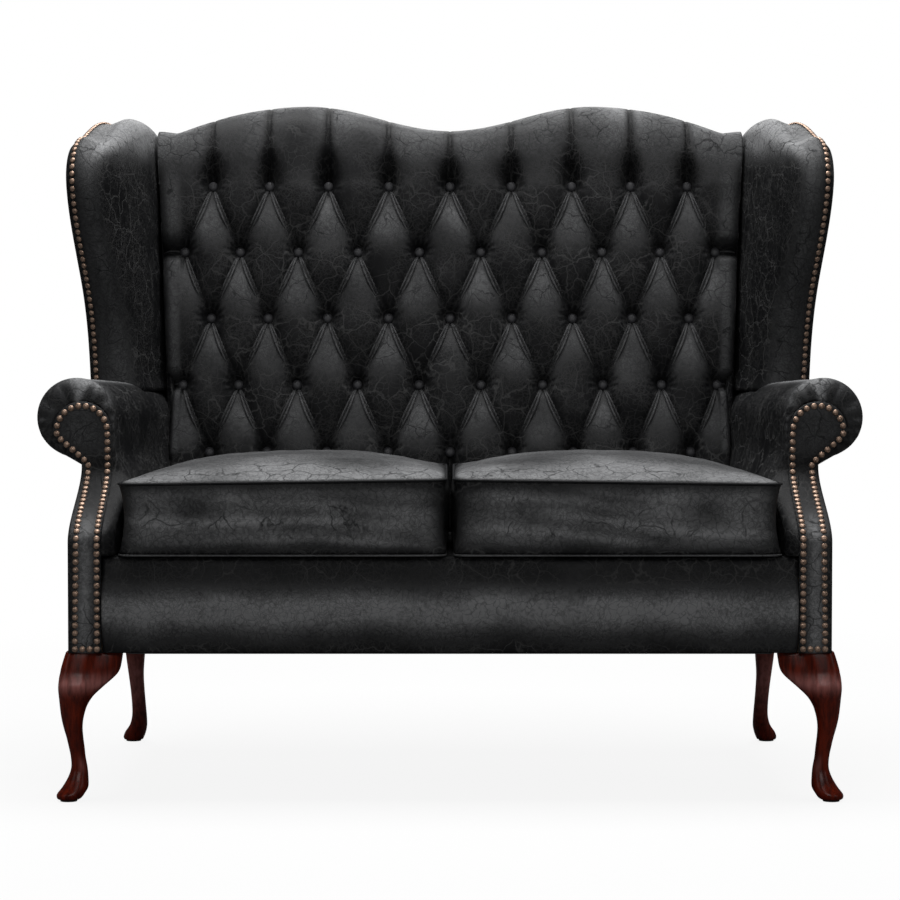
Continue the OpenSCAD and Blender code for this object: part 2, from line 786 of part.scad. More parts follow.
function wing_point(p, x) = [x, p[0], p[1]];

module wing_pad(side) {
    function ring(i) = let (
        s = wing_rear(i, board_inset),
        pr = wing_inset(i, wing_roll),
        pb = wing_inset(i, board_inset),
        xb = function (p) wing_out(p[0], p[1]) - panel_t - fit,
        bx = xb(pb) - wing_board_t - fit
    ) concat(
        [wing_point(s, wing_in(s[0], s[1])), wing_point(pr, wing_in(pr[0], pr[1]))],
        [
            for (a = [22.5 : 22.5 : 90]) let (
                p = wing_inset(i, wing_roll * (1 - sin(a))),
                x1 = wing_in(p[0], p[1]),
                x2 = lerp(x1, wing_out(p[0], p[1]), ridge_across_share)
            ) wing_point(p, lerp(x1, x2, 1 - cos(a)))
        ],
        [
            for (c = edge_round_shares) let (p = wing_inset(i, wing_hem * c[0]))
                wing_point(p, wing_out(p[0], p[1]) - wing_hem * c[1])
        ],
        [
            for (c = [wing_hem, lerp(wing_hem, board_inset, hem_share), lerp(wing_hem, board_inset, 2 * hem_share)])
                let (p = wing_inset(i, c)) wing_point(p, xb(p))
        ],
        [
            for (t = [0 : 3]) wing_point(pb, lerp(xb(pb), bx, t / 3))
        ],
        [for (t = [1, 2]) let (p = lerp(pb, s, t / 2)) wing_point(p, xb(p) - wing_board_t - fit)]
    );
    color(leather)
    right_and_left(side) skin([for (i = [wing_n - 1 : -1 : 0]) ring(i)]);
}
// Steps of the hem between the outside panel and the board
hem_share = 0.33;
// Share of the wing's thickness at which the ridge of its roll lies, from the inside
ridge_across_share = 0.46;
// Inset and depth from the outer face, round the wing's outer corner, as shares of the hem
edge_round_shares = [[0.25, 0.95], [0.65, 0.33], [0.98, 0]];

module left_wing_pad() { wing_pad(-1); }
module right_wing_pad() { wing_pad(1); }

// A flat plate that follows the wing's outer face, d inside its edge and from x1 to x2 below that face
module wing_plate(d, x1, x2, to_rear) {
    outline = concat(
        [for (i = [0 : wing_n - 1]) wing_inset(i, d)],
        [for (i = [0 : wing_n - 1]) let (
            j = wing_n - 1 - i,
            z = lerp(wing_base_z, wing_rear_z - d - fit, j / (wing_n - 1))
        ) [(to_rear ? rear_y(z) : post_front_y(z) - fit), z]]
    );
    skin([
        [for (p = outline) wing_point(p, wing_out(p[0], p[1]) - x1)],
        [for (p = outline) wing_point(p, wing_out(p[0], p[1]) - x2)]
    ]);
}

module wing_board(side) {
    color(timber)
    right_and_left(side) wing_plate(board_inset + fit, wing_board_t + panel_t, panel_t + fit, false);
}

module left_wing_board() { wing_board(-1); }
module right_wing_board() { wing_board(1); }

module outside_wing(side) {
    color(leather)
    right_and_left(side) wing_plate(wing_hem, panel_t, 0, true);
}

module left_outside_wing() { outside_wing(-1); }
module right_outside_wing() { outside_wing(1); }

// Arm pads, panels and facings

module arm_pad(side) {
    low = deck_z + fit;
    front_seat = seat_of_roll(0) + fit;
    levels = concat([low], [for (z = slope_zs) if (z > low + probe && z < front_seat - probe) z], [front_seat]);
    strip_shares = [for (z = levels) (z - low) / (front_seat - low)];
    upper_shares = [0.35, 0.7];
    roll_angles = [for (a = [180 : -17 : -75]) a];
    n = len(roll_angles);
    // One ring at the share s of the arm's length. Nothing of it is higher than cap.
    function ring(s, cap) = let (
        top = roll_z(s),
        seat = seat_of_roll(s) + fit
    ) concat(
        [
            for (t = strip_shares) let (z = lerp(low, seat, t), y = arm_y(z, s)) [inner_x(y), y, z]
        ],
        [
            for (t = upper_shares) let (z = lerp(seat, top, t), y = arm_y(z, s)) [inner_x(y), y, z]
        ],
        [
            for (a = roll_angles) let (z = min(cap, top + roll_r * sin(a)), y = arm_y(z, s))
                [inner_x(y) + roll_r * (1 + cos(a)), y, z]
        ],
        [let (y = arm_y(seat, s)) [side_x(y), y, seat + neck_h * neck_edge_share]],
        [
            for (t = [0 : n + 3]) let (y = arm_y(seat, s)) [lerp(side_x(y), rail_x(y), t / (n + 3)), y, seat]
        ],
        [
            for (i = [1 : len(strip_shares) - 1]) let (
                t = strip_shares[len(strip_shares) - 1 - i],
                z = lerp(low, seat, t),
                y = arm_y(z, s)
            ) [rail_x(y), y, z]
        ]
    );
    // Behind the wing's foot the roll is flat, and the wing stands on it
    flat_z = wing_base_z - fit;
    color(leather)
    right_and_left(side) skin(backward(concat(
        [for (s = concat(arm_shares, [foot_share])) ring(s, arm_h)],
        [for (s = concat([foot_share + step_share], rear_arm_shares)) ring(s, flat_z)]
    )), cap_form = "ladder");
}
// Shares of the arm's length at which the pad has a ring, in front of the wing and under it
arm_shares = [0, 0.12, 0.26, 0.45];
rear_arm_shares = [0.72, 0.86, 1];
step_share = 0.003;
// Share of the arm's length at which the wing's foot stands
foot_probe_z = wing_base_z + neck_h;
foot_share = (wing_foot_y - fit - post_line(foot_probe_z))
    / (post_front_y(foot_probe_z) - fit - post_line(foot_probe_z));
// Share of the neck's height that stands straight above the outside panel
neck_edge_share = 0.3;

module left_arm_pad() { arm_pad(-1); }
module right_arm_pad() { arm_pad(1); }

module outside_arm(side) {
    rear_top = seat_of_roll(1);
    neck_z = seat_of_roll(0);
    neck = [for (z = concat([frame_z], [for (z = slope_zs) if (z < neck_z - probe) z], [neck_z])) [post_line(z), z]];
    // Behind the roll the panel climbs along the back post to the wing's foot
    front = concat(neck, [
        [post_front_y(rear_top), rear_top],
        [post_front_y(wing_base_z), wing_base_z - fit]
    ]);
    n = len(front);
    rear = concat(
        [for (i = [0 : n - 2]) let (z = lerp(frame_z, rear_top - panel_t, i / (n - 2))) [rear_y(z), z]],
        [[rear_y(wing_base_z), wing_base_z - fit]]
    );
    outline = concat(front, [for (i = [0 : n - 1]) rear[n - 1 - i]]);
    color(leather)
    right_and_left(side) {
        skin([
            [for (p = outline) [frame_x(p[0]), p[0], p[1]]],
            [for (p = outline) [side_x(p[0]), p[0], p[1]]]
        ]);
    }
}

module left_outside_arm() { outside_arm(-1); }
module right_outside_arm() { outside_arm(1); }

facing_x = facing_in_x + facing_r + fit;
// Where the straight outer edge of the facing turns out toward the round top
facing_turn_z = slope_zs[slope_steps] + panel_t;
// Share of the radius below the middle of the round top at which the turned edge meets it
turn_share = 0.15;
facing_low_z = facing_z - facing_r * turn_share;
// Inner and outer edge of the facing at height z
function facing_left(z) = z < facing_z ? facing_in_x + fit
    : facing_x - sqrt(max(0, facing_r * facing_r - (z - facing_z) * (z - facing_z)));
function facing_right(z) = z < facing_turn_z ? side_x(post_line(z))
    : z < facing_low_z
        ? lerp(side_x(scroll_y), facing_x + facing_r * cos(asin(turn_share)),
            (z - facing_turn_z) / (facing_low_z - facing_turn_z))
        : facing_x + sqrt(max(0, facing_r * facing_r - (z - facing_z) * (z - facing_z)));
facing_top_z = facing_z + facing_r;

module facing(side) {
    upper_steps = 8;
    zs = concat(
        [frame_z],
        slope_zs,
        [facing_turn_z, facing_low_z, facing_z],
        [for (i = [1 : upper_steps]) facing_z + facing_r * sin(85 * i / upper_steps)]
    );
    function ring(z) = let (
        l = facing_left(z),
        r = facing_right(z),
        b = min(facing_bevel, (r - l) / 3),
        y = front_line(z)
    ) [
        [l, y + b, z], [l + b, y, z], [r - b, y, z], [r, y + b, z],
        [r, y + facing_t - fit, z], [r - b, y + facing_t - fit, z],
        [l + b, y + facing_t - fit, z], [l, y + facing_t - fit, z]
    ];
    color(leather)
    right_and_left(side) skin([for (z = backward(zs)) ring(z)]);
}

module left_facing() { facing(-1); }
module right_facing() { facing(1); }

// Seat cushions

// Plan of a cushion's quarter-rounded outline, drawn in by d on every side
module seat_cushion(side) {
    corner_steps = 4;
    y1 = -front_reach - cushion_proud;
    y2 = y1 + cushion_d;
    x1 = cushion_gap / 2;
    low = deck_z + fit;
    function outer(y) = cushion_half_w - cushion_draw * (y - y1) / cushion_d;
    mid = [(x1 + outer((y1 + y2) / 2)) / 2, (y1 + y2) / 2];
    corner = cushion_corner;
    // Corners in order, each with the angle at which its rounding starts
    corners = [
        [[x1 + corner, y1 + corner], 180], [[outer(y1) - corner, y1 + corner], 270],
        [[outer(y2) - corner, y2 - corner], 0], [[x1 + corner, y2 - corner], 90]
    ];
    base = [
        for (c = corners) each concat(
            [for (i = [0 : corner_steps]) let (a = c[1] + 90 * i / corner_steps)
                [c[0][0] + corner * cos(a), c[0][1] + corner * sin(a)]],
            []
        )
    ];
    // Extra points along the long sides
    plan = [
        for (i = [0 : len(base) - 1]) let (p = base[i], q = base[(i + 1) % len(base)]) each
            norm(q - p) > corner ? [for (t = [0 : 4]) lerp(p, q, t / 5)] : [p]
    ];
    function out_way(p) = let (
        d = [max(0, abs(p[0] - mid[0]) / (outer((y1 + y2) / 2) - mid[0])), abs(p[1] - mid[1]) / (y2 - mid[1])]
    ) d;
    // One ring at height z, drawn in by d
    function ring(d, z) = [
        for (p = plan) let (
            v = p - mid,
            sx = (abs(outer(p[1]) - mid[0]) - d) / abs(outer(p[1]) - mid[0]),
            sy = (y2 - mid[1] - d) / (y2 - mid[1])
        ) [mid[0] + v[0] * sx, mid[1] + v[1] * sy, z]
    ];
    // The crown falls to nothing along every side, and is full in the middle
    function domed(share) = [
        for (p = plan) let (
            v = (p - mid) * share,
            u = abs(v[0]) / abs(outer(p[1]) - mid[0]),
            w = abs(v[1]) / (y2 - mid[1])
        ) [
            mid[0] + v[0],
            mid[1] + v[1],
            low + cushion_h + crown_h * (1 - pow(u, crown_power)) * (1 - pow(w, crown_power))
        ]
    ];
    p = piping_r;
    side_rings = [
        for (t = side_shares)
            ring(p + draw_in * sin(180 * t), low + lerp(2 * p, cushion_h - 2 * p, t))
    ];
    color(leather)
    right_and_left(side) skin(backward(concat(
        [ring(3 * p, low), ring(p, low), ring(0, low + p), ring(p, low + 2 * p)],
        side_rings,
        [ring(p, low + cushion_h - 2 * p), ring(0, low + cushion_h - p), ring(p, low + cushion_h)],
        [for (s = crown_shares) domed(s)]
    )), cap_form = "centre");
}
// Shares of the height between the pipings at which the drawn-in sides have a ring
side_shares = [0.2, 0.4, 0.6, 0.8];
// Shares of the half width at which the crown's rings lie, and how late the crown falls
crown_shares = [0.96, 0.88, 0.76, 0.6, 0.42, 0.2];
crown_power = 2.8;

module left_cushion() { seat_cushion(-1); }
module right_cushion() { seat_cushion(1); }

// Nails

module nail() {
    ball = (nail_r * nail_r + nail_h * nail_h) / (2 * nail_h);
    intersection() {
        translate([0, 0, nail_h - ball]) sphere(ball);
        cylinder(h = nail_h, r = ball);
    }
}

module arm_nails(side) {
    m = nail_margin;
    low = frame_z + nail_margin;
    r = facing_r - m;
    x1 = facing_in_x + m;
    x2 = side_x(scroll_y) - m - panel_t;
    neck_z = facing_turn_z;
    rim = [for (a = [180 : -12 : -12]) [facing_x + r * cos(a), facing_z + r * sin(a)]];
    zs = [for (i = [0 : 14]) i / 14];
    inner = [for (t = zs) [x1, lerp(low, facing_z - m, t)]];
    outer = [for (t = zs) [lerp(x2, side_x(-front_reach) - m - panel_t, t), lerp(neck_z, low, t)]];
    path = [for (p = concat(inner, rim, outer)) [p[0], front_line(p[1]), p[1]]];
    spots = [for (p = walk(path, nail_pitch)) [p[0], front_line(p[2]), p[2]]];
    bottom = [for (x = [x1, side_x(-front_reach) - m - panel_t]) [x, front_line(low), low]];
    foot = walk(bottom, nail_pitch);
    color(brass)
    right_and_left(side) {
        for (p = spots) place_nail(p);
        for (i = [1 : len(foot) - 2]) place_nail(foot[i]);
    }
}

// Front of the facing at height z, along its own flat steps
function face_y(z) = lookup(z, [for (h = slope_zs) [h, front_line(h)]]);

module place_nail(p) {
    above = face_y(p[2] + nail_r);
    below = face_y(p[2] - nail_r);
    translate([p[0], min(face_y(p[2]), (above + below) / 2), p[2]])
        rotate([90 - atan((above - below) / (2 * nail_r)), 0, 0])
            translate([0, 0, fit]) nail();
}

module left_arm_nails() { arm_nails(-1); }
module right_arm_nails() { arm_nails(1); }

module wing_nails(side) {
    // The nails sit in the middle of the sloping strip between the first two points of the rounded corner
    strip = [edge_round_shares[0], edge_round_shares[1]];
    seat = wing_hem * (strip[0] + strip[1]) / 2;
    tilt = atan((strip[1][0] - strip[0][0]) / (strip[0][1] - strip[1][1]));
    path = [
        for (i = [0 : wing_n - 1]) let (p = wing_inset(i, seat[0])) [wing_out(p[0], p[1]) - seat[1], p[0], p[1]]
    ];
    spots = walk(path, nail_pitch);
    color(brass)
    right_and_left(side)
    for (i = [1 : len(spots) - 2]) {
        d = spots[i + 1] - spots[i - 1];
        translate(spots[i])
            rotate([90 - atan2(d[1], d[2]), 0, 0])
                rotate([0, tilt, 0])
                    translate([0, 0, nail_lift]) nail();
    }
}

// Lift of a wing nail off the twisted strip below it
nail_lift = 0.8;

module left_wing_nails() { wing_nails(-1); }
module right_wing_nails() { wing_nails(1); }

// Legs

leg_x = side_x(post_base_y) - knee_a + knee_out;
leg_y = post_base_y + knee_a - fit;
leg_h = frame_z - glide_h;
// Height share, outward shift as a share of the toe, half width between ankle and knee, ear share, squareness
leg_shares = [
    [1, -0.19, 1, 1, 4], [0.965, -0.04, 1.02, 1, 3.8], [0.9, 0.2, 1.06, 0.97, 3.4], [0.827, 0.34, 1.15, 0.84, 3.1],
    [0.76, 0.41, 1.15, 0.43, 2.9], [0.695, 0.41, 1.1, 0.08, 2.7], [0.624, 0.56, 0.76, 0, 2.5],
    [0.553, 0.63, 0.48, 0, 2.3], [0.487, 0.58, 0.27, 0, 2.2], [0.42, 0.43, 0.13, 0, 2.1], [0.35, 0.27, 0.06, 0, 2],
    [0.283, 0.14, 0, 0, 2], [0.21, 0.04, 0.1, 0, 2], [0.146, 0.14, 0.36, 0, 2], [0.08, 0.41, 0.74, 0, 2],
    [0.035, 0.82, 0.84, 0, 2], [0.01, 0.96, 0.66, 0, 2], [0, 1, 0.4, 0, 2]
];
leg_sides = 28;

module front_leg(side) {
    function ring(s) = let (
        half = lerp(ankle_a, knee_a, s[2]),
        shift = toe_out * s[1],
        ear = ear_l * s[3],
        z = glide_h + leg_h * s[0]
    ) [
        for (i = [0 : leg_sides - 1]) let (
            a = 360 * i / leg_sides,
            c = cos(a),
            d = sin(a),
            r = half / pow(pow(abs(c), s[4]) + pow(abs(d), s[4]), 1 / s[4]),
            grow = ear * (pow(max(0, -c), ear_power) + pow(max(0, d), ear_power))
        ) [leg_x + shift + (r + grow) * c, leg_y - shift * toe_front_share + (r + grow) * d, z]
    ];
    color(mahogany)
    right_and_left(side) skin([for (s = leg_shares) ring(s)]);
}
ear_power = 14;
toe_front_share = 0.7;

module left_front_leg() { front_leg(-1); }
module right_front_leg() { front_leg(1); }

rear_leg_x = post_outer_x - rear_top_a;
rear_leg_y = rear_reach - back_t / 2;
// Height share, sweep share, outward share, half width between ankle and top, squareness
rear_shares = [
    [1, 0, 0, 1, 6], [0.86, 0.03, 0.1, 0.78, 5], [0.7, 0.13, 0.18, 0.45, 4], [0.55, 0.27, 0.2, 0.12, 3.4],
    [0.42, 0.42, 0.14, 0, 3], [0.3, 0.58, 0.1, 0, 2.6], [0.2, 0.74, 0.14, 0.1, 2.3], [0.12, 0.88, 0.34, 0.36, 2],
    [0.06, 0.97, 0.74, 0.7, 2], [0.02, 1, 0.97, 0.7, 2], [0, 1, 1, 0.5, 2]
];
module rear_leg(side) {
    sides = 24;
    function ring(s) = let (
        half = lerp(rear_ankle_a, rear_top_a, s[3]),
        z = glide_h + leg_h * s[0]
    ) [
        for (i = [0 : sides - 1]) let (
            a = 360 * i / sides,
            c = cos(a),
            d = sin(a),
            r = half / pow(pow(abs(c), s[4]) + pow(abs(d), s[4]), 1 / s[4])
        ) [rear_leg_x + rear_out * s[2] + r * c, rear_leg_y + rear_sweep * s[1] + r * d, z]
    ];
    color(mahogany)
    right_and_left(side) skin([for (s = rear_shares) ring(s)]);
}

module left_rear_leg() { rear_leg(-1); }
module right_rear_leg() { rear_leg(1); }

module glides() {
    color(felt)
    for (side = [-1, 1]) right_and_left(side) {
        translate([leg_x + toe_out, leg_y - toe_out * toe_front_share, 0]) cylinder(h = glide_h, r = glide_r);
        translate([rear_leg_x + rear_out, rear_leg_y + rear_sweep, 0]) cylinder(h = glide_h, r = glide_r);
    }
}

front_rail();
rear_rail();
left_side_rail();
right_side_rail();
centre_brace();
corner_blocks();
left_arm_post();
right_arm_post();
left_arm_rail();
right_arm_rail();
left_tack_rail();
right_tack_rail();
left_back_post();
right_back_post();
back_stile();
stuffing_rail();
crest_rail();
left_wing_board();
right_wing_board();
seat_webbing();
back_webbing();
seat_deck();
front_border();
back_pad();
back_buttons();
left_wing_pad();
right_wing_pad();
left_arm_pad();
right_arm_pad();
left_facing();
right_facing();
left_outside_arm();
right_outside_arm();
left_outside_wing();
right_outside_wing();
left_corner_pad();
right_corner_pad();
outside_back();
dust_cover();
left_cushion();
right_cushion();
left_arm_nails();
right_arm_nails();
left_wing_nails();
right_wing_nails();
left_front_leg();
right_front_leg();
left_rear_leg();
right_rear_leg();
glides();
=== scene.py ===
"""Dresses a two-seat wing settee: deep-buttoned leather back, loose cushions, brass nails and polished legs.

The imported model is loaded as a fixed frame. Each operator makes one piece, or one group of like pieces, at the
place where the frame has it. Lengths in the code are millimetres, and meshes are written in metres.
"""
import math

import bpy
import bmesh
import numpy as np
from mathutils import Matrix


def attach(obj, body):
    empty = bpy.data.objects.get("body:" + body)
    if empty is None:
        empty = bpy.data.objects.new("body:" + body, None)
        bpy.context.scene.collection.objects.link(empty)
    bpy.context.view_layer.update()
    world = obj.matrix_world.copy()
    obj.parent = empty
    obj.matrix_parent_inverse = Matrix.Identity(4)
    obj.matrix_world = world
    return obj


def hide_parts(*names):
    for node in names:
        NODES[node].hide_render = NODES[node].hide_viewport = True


bl_info = {
    "name": "Wing settee dresser",
    "version": (1, 0, 0),
    "blender": (4, 5, 0),
    "location": "3D View > Sidebar > Settee",
    "description": "Makes the leather, trim, legs and stage of a deep-buttoned wing settee",
    "category": "Object",
}

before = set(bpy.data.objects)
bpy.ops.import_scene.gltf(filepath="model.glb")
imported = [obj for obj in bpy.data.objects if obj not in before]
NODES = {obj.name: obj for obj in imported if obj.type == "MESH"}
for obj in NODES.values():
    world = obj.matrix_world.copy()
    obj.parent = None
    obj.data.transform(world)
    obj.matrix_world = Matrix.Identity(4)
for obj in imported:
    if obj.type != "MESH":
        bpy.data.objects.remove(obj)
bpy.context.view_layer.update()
SIDES = ((-1, "left"), (1, "right"))

# ---------------------------------------------------------------- sizes shared with the frame, in mm

HALF_W, FRONT, REAR, BASE_Z, DECK_Z = 589.0, 400.0, 216.0, 231.0, 381.0
RAKE = math.radians(12)
TAN, COS, SIN = math.tan(RAKE), math.cos(RAKE), math.sin(RAKE)
BACK_T, FIT = 45.0, 0.3
ARM_H, ROLL_R, ARM_FALL, NECK_H, RAIL_PAD = 653.0, 63.0, 21.0, 17.0, 18.0
SCROLL_Y, SLOPE_Z, SLOPE_H, TURN_Z = -250.0, 402.0, 112.0, 518.0
FACE_IN, FACE_X, FACE_Z, FACE_R, FACE_T = 537.0, 584.3, 569.0, 47.0, 5.7
ROWS, LOW_ROW, ROW_PITCH, PITCH, CLOSING, OUT_COL = 5, 269.0, 117.7, 107.3, 0.0021, 4.5
PLANE = 122.0
CREST_H, CREST_W, HUMP_X = 851, 512.0, 248
WING_Z, WING_NOSE_Y, WING_NOSE_Z, WING_TOP = 624.0, -52.0, 970.0, 1084.0
WING_T, WING_ROLL, WING_HEM, WING_LEAN, WING_LAP, WING_EDGE = 57.0, 34.0, 15.0, 0.022, 26.0, 26.6
POST_X, PANEL_T, RAIL_T, LIP_D, LIP_Z, DECK_LOW = 567.5, 4.0, 30.0, 42.0, 346.0, 348.0
LEG_H, GLIDE_H, EAR = 228.0, 3.0, 42.0
LEG_X, LEG_Y, REAR_LEG_X, REAR_LEG_Y = 574.85, -371.3, 546.5, 193.5
CUSHION_Y1, CUSHION_D, CUSHION_H, CROWN = -403.0, 521.0, 114.0, 36.0
CUSHION_X1, PIPING_R, CORNER = 2.5, 3.5, 26.0
SEAT_LOW, SEAT_HIGH = DECK_Z + FIT, DECK_Z + FIT + CUSHION_H
SEAT_MID = (SEAT_LOW + SEAT_HIGH) / 2
NAIL_PITCH, NAIL_MARGIN, NAIL_LIFT = 12.3, 7.0, 0.3


def lerp(a, b, t):
    return a + (b - a) * t


def clamp(t):
    return np.clip(t, 0.0, 1.0)


def smooth(t):
    t = clamp(t)
    return t * t * (3 - 2 * t)


def ramp(n):
    return np.linspace(0, 1, n)


def arch(t):
    """Nothing at 0 and 1, and 1 halfway."""
    return np.sin(np.pi * t)


def inward(t):
    """How far a share from 0 to 1 is from the nearer end."""
    return np.minimum(t, 1 - t)


def bell(value, middle, width):
    """1 at the middle, and next to nothing two widths away."""
    return np.exp(-((value - middle) / width) ** 2)


def joined(*axes):
    """Points from coordinates whose shapes fit each other."""
    return np.stack(np.broadcast_arrays(*axes), -1)


def unit(ways):
    return ways / np.linalg.norm(ways, axis=-1, keepdims=True)


def side_x(y):
    """Outer face of the arm at depth y."""
    return HALF_W - 0.025 * (y + FRONT)


def inner_x(y):
    """Inner face of the padded arm at depth y."""
    return side_x(y) - 52 - 0.105 * np.maximum(0, y - SCROLL_Y)


def rear_y(z):
    return REAR + (z - BASE_Z) * TAN


def post_front_y(z):
    return rear_y(z) - BACK_T / COS


def front_line(z):
    """Front of the arm in side view: upright, swept back, upright again."""
    return 150 * smooth((z - SLOPE_Z) / SLOPE_H) - FRONT


def pad_half_w(z):
    """Half the width of the back pad at height z."""
    low = lerp(476.0, 489.0, clamp((z - WING_Z) / (ARM_H - WING_Z)))
    high = lerp(489.0, CREST_W, clamp((z - ARM_H) / (CREST_H * COS + BASE_Z - ARM_H)))
    return np.where(z < ARM_H, low, high)


WING_ROOT = side_x(rear_y(WING_Z))


def wing_out(y, z):
    splay = 0.135 + 0.016 * (1 - smooth((z - WING_Z) / 190))
    return WING_ROOT + WING_LEAN * (z - WING_Z) + splay * (rear_y(z) - y)


def wing_in(y, z):
    t = clamp((y - WING_NOSE_Y) / (post_front_y(z) - WING_NOSE_Y))
    return lerp(wing_out(y, z) - WING_T, pad_half_w(z) + FIT, t)


def shouldered(points):
    """The points with the soft dip between the wing's outer corner and its crown."""
    points = points.copy()
    points[..., 2] -= 11 * bell(np.abs(points[..., 0]), 584, 15) * smooth((points[..., 2] - 985) / 60)
    return points


def crest_h(x):
    """Height of the serpentine crest along the raked back."""
    a = np.abs(x)
    hump = CREST_H + 23 * (1 - np.cos(np.pi * np.minimum(a, HUMP_X) / HUMP_X))
    return hump - 52 * clamp((a - HUMP_X) / 232) ** 2


def raked(x, w, h):
    """A point of the back: across, behind the frame's rear face when positive, and up along it."""
    return joined(x, REAR + w * COS + h * SIN, BASE_Z - w * SIN + h * COS)


def column_x(k):
    return PITCH * k * (1 - CLOSING * k * k)


def ripple(a, b, seed, wave, terms=9):
    """Smooth seeded unevenness over two coordinates, about -1 to 1."""
    rng = np.random.default_rng(seed)
    out = 0
    for _ in range(terms):
        turn = rng.uniform(0, 2 * np.pi)
        size = wave * rng.uniform(0.6, 1.7)
        out = out + np.sin((a * np.cos(turn) + b * np.sin(turn)) * 2 * np.pi / size + rng.uniform(0, 6.28))
    return out / math.sqrt(terms * 2) * 1.2


def spline(points, n):
    """n points along a smooth curve through the given rows."""
    p = np.asarray(points, float)
    q = np.vstack([2 * p[0] - p[1], p, 2 * p[-1] - p[-2]])
    t = np.linspace(0, len(p) - 1, n)
    i = np.minimum(t.astype(int), len(p) - 2)
    f = (t - i)[:, None]
    a, b, c, d = q[i], q[i + 1], q[i + 2], q[i + 3]
    return 0.5 * (2 * b + (c - a) * f + (2 * a - 5 * b + 4 * c - d) * f ** 2 + (3 * b - a - 3 * c + d) * f ** 3)


def spaced(path, count):
    """count points at an even spacing along a path, and how far along each one is."""
    run = np.concatenate([[0], np.cumsum(np.linalg.norm(np.diff(path, axis=0), axis=1))])
    s = np.linspace(0, run[-1], count)
    return joined(*(np.interp(s, run, axis) for axis in path.T)), s


def walk(path, pitch):
    """Points along a path, as near to the pitch as an even spacing allows."""
    length = np.linalg.norm(np.diff(path, axis=0), axis=1).sum()
    return spaced(path, int(round(length / pitch)) + 1)[0]


# ---------------------------------------------------------------- meshes

def placed(name, data):
    """A new object of the scene, at the origin."""
    thing = bpy.data.objects.new(name, data)
    bpy.context.scene.collection.objects.link(thing)
    return thing


def cleaned(mesh, gap):
    """The mesh with points closer than gap joined, its faces turned outward and shaded smooth."""
    solid = bmesh.new()
    solid.from_mesh(mesh)
    bmesh.ops.remove_doubles(solid, verts=solid.verts, dist=gap)
    bmesh.ops.recalc_face_normals(solid, faces=solid.faces)
    solid.to_mesh(mesh)
    solid.free()
    mesh.shade_smooth()
    return mesh


def mesh_points(mesh):
    out = np.empty(len(mesh.vertices) * 3, np.float32)
    mesh.vertices.foreach_get("co", out)
    return out.reshape(-1, 3).astype(float) * 1000


def set_painted_light_and_wear(mesh, painted_light_and_wear):
    """How far the leather is made paler at each point, from 0 to 1, as painted light and as wear."""
    layer = mesh.attributes.get("painted_light_and_wear") or mesh.attributes.new("painted_light_and_wear", "FLOAT", "POINT")
    values = np.broadcast_to(np.asarray(painted_light_and_wear, np.float32).ravel(), len(mesh.vertices))
    layer.data.foreach_set("value", np.clip(values, 0, 1))


def skin(name, rings, material, painted_light_and_wear=0.0):
    """A closed piece through rings of equal count, with a fan at both ends, and the painted light and wear of each
    ring's points.
    """
    rings = np.asarray(rings, float)
    n, m = rings.shape[:2]
    i, j = np.arange(n - 1)[:, None] * m, np.arange(m)
    k = (j + 1) % m
    faces = joined(i + j, i + k, i + m + k, i + m + j).reshape(-1, 4).tolist()
    last = (n - 1) * m
    faces += joined(n * m, k, j).tolist() + joined(n * m + 1, last + j, last + k).tolist()
    points = np.vstack([rings.reshape(-1, 3), rings[0].mean(0), rings[-1].mean(0)])
    mesh = bpy.data.meshes.new(name)
    mesh.from_pydata((points / 1000).tolist(), [], faces)
    set_painted_light_and_wear(mesh, np.append(np.broadcast_to(painted_light_and_wear, (n, m)), [0.0, 0.0]))
    mesh.materials.append(material)
    return placed(name, cleaned(mesh, 1e-5))


def plate(name, face, back, material, painted_light_and_wear=0.0):
    """A closed plate between a face grid and a back grid of the same size."""
    painted_light_and_wear = np.broadcast_to(painted_light_and_wear, face.shape[:2])
    rings, painted_light_and_wear = (np.concatenate([a, b[:, ::-1]], axis=1) for a, b in ((face, back), (painted_light_and_wear, painted_light_and_wear)))
    return skin(name, rings, material, painted_light_and_wear)


def sided(grid, side):
    """The grid of the right side, or its mirror image for the left side."""
    return grid * np.array([side, 1, 1])


def edge_swell(d, width, rise):
    """Height of a padded face over its edge, d away from that edge."""
    t = clamp(d / width)
    return rise * np.sqrt(np.maximum(0, 1 - (1 - t) ** 2))


def settle(piece, *nodes, body="settee", slot="black_leather", fill=None):
    """Gives the piece its body and hides the frame nodes that it stands for; the slot is not used."""
    if nodes:
        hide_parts(*nodes)
    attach(piece, body)


def settle_pair(shape, kind, node_kind, grids, painted_light_and_wear, look="leather", **more):
    """Makes the left and the right piece from the grids of the right one, and settles both."""
    for side, word in SIDES:
        piece = shape(word + "_" + kind, *(sided(grid, side) for grid in grids), finish(look), painted_light_and_wear)
        settle(piece, word + "_" + node_kind, **more)


# ---------------------------------------------------------------- nodes

def feed(tree, inputs, values):
    """Links each input to its socket, or gives it its plain value."""
    for key, value in values.items():
        if isinstance(value, bpy.types.NodeSocket):
            tree.links.new(value, inputs[key])
        else:
            inputs[key].default_value = value


def node(tree, kind, inputs=None, **settings):
    """Adds a node with its settings and its inputs, and returns its outputs."""
    made = tree.nodes.new(kind)
    for key, value in settings.items():
        setattr(made, key, value)
    feed(tree, made.inputs, inputs or {})
    return made.outputs


def group_start(name, kind, inputs, outputs):
    """A node group with named inputs, each (name, type, value), and named outputs; its two end nodes' sockets."""
    tree = bpy.data.node_groups.new(name, kind)
    for label, socket_kind, value in inputs:
        socket = tree.interface.new_socket(name=label, in_out="INPUT", socket_type="NodeSocket" + socket_kind)
        if value is not None:
            socket.default_value = value
    for label, socket_kind in outputs:
        tree.interface.new_socket(name=label, in_out="OUTPUT", socket_type="NodeSocket" + socket_kind)
    return tree, tree.nodes.new("NodeGroupInput").outputs, tree.nodes.new("NodeGroupOutput").inputs


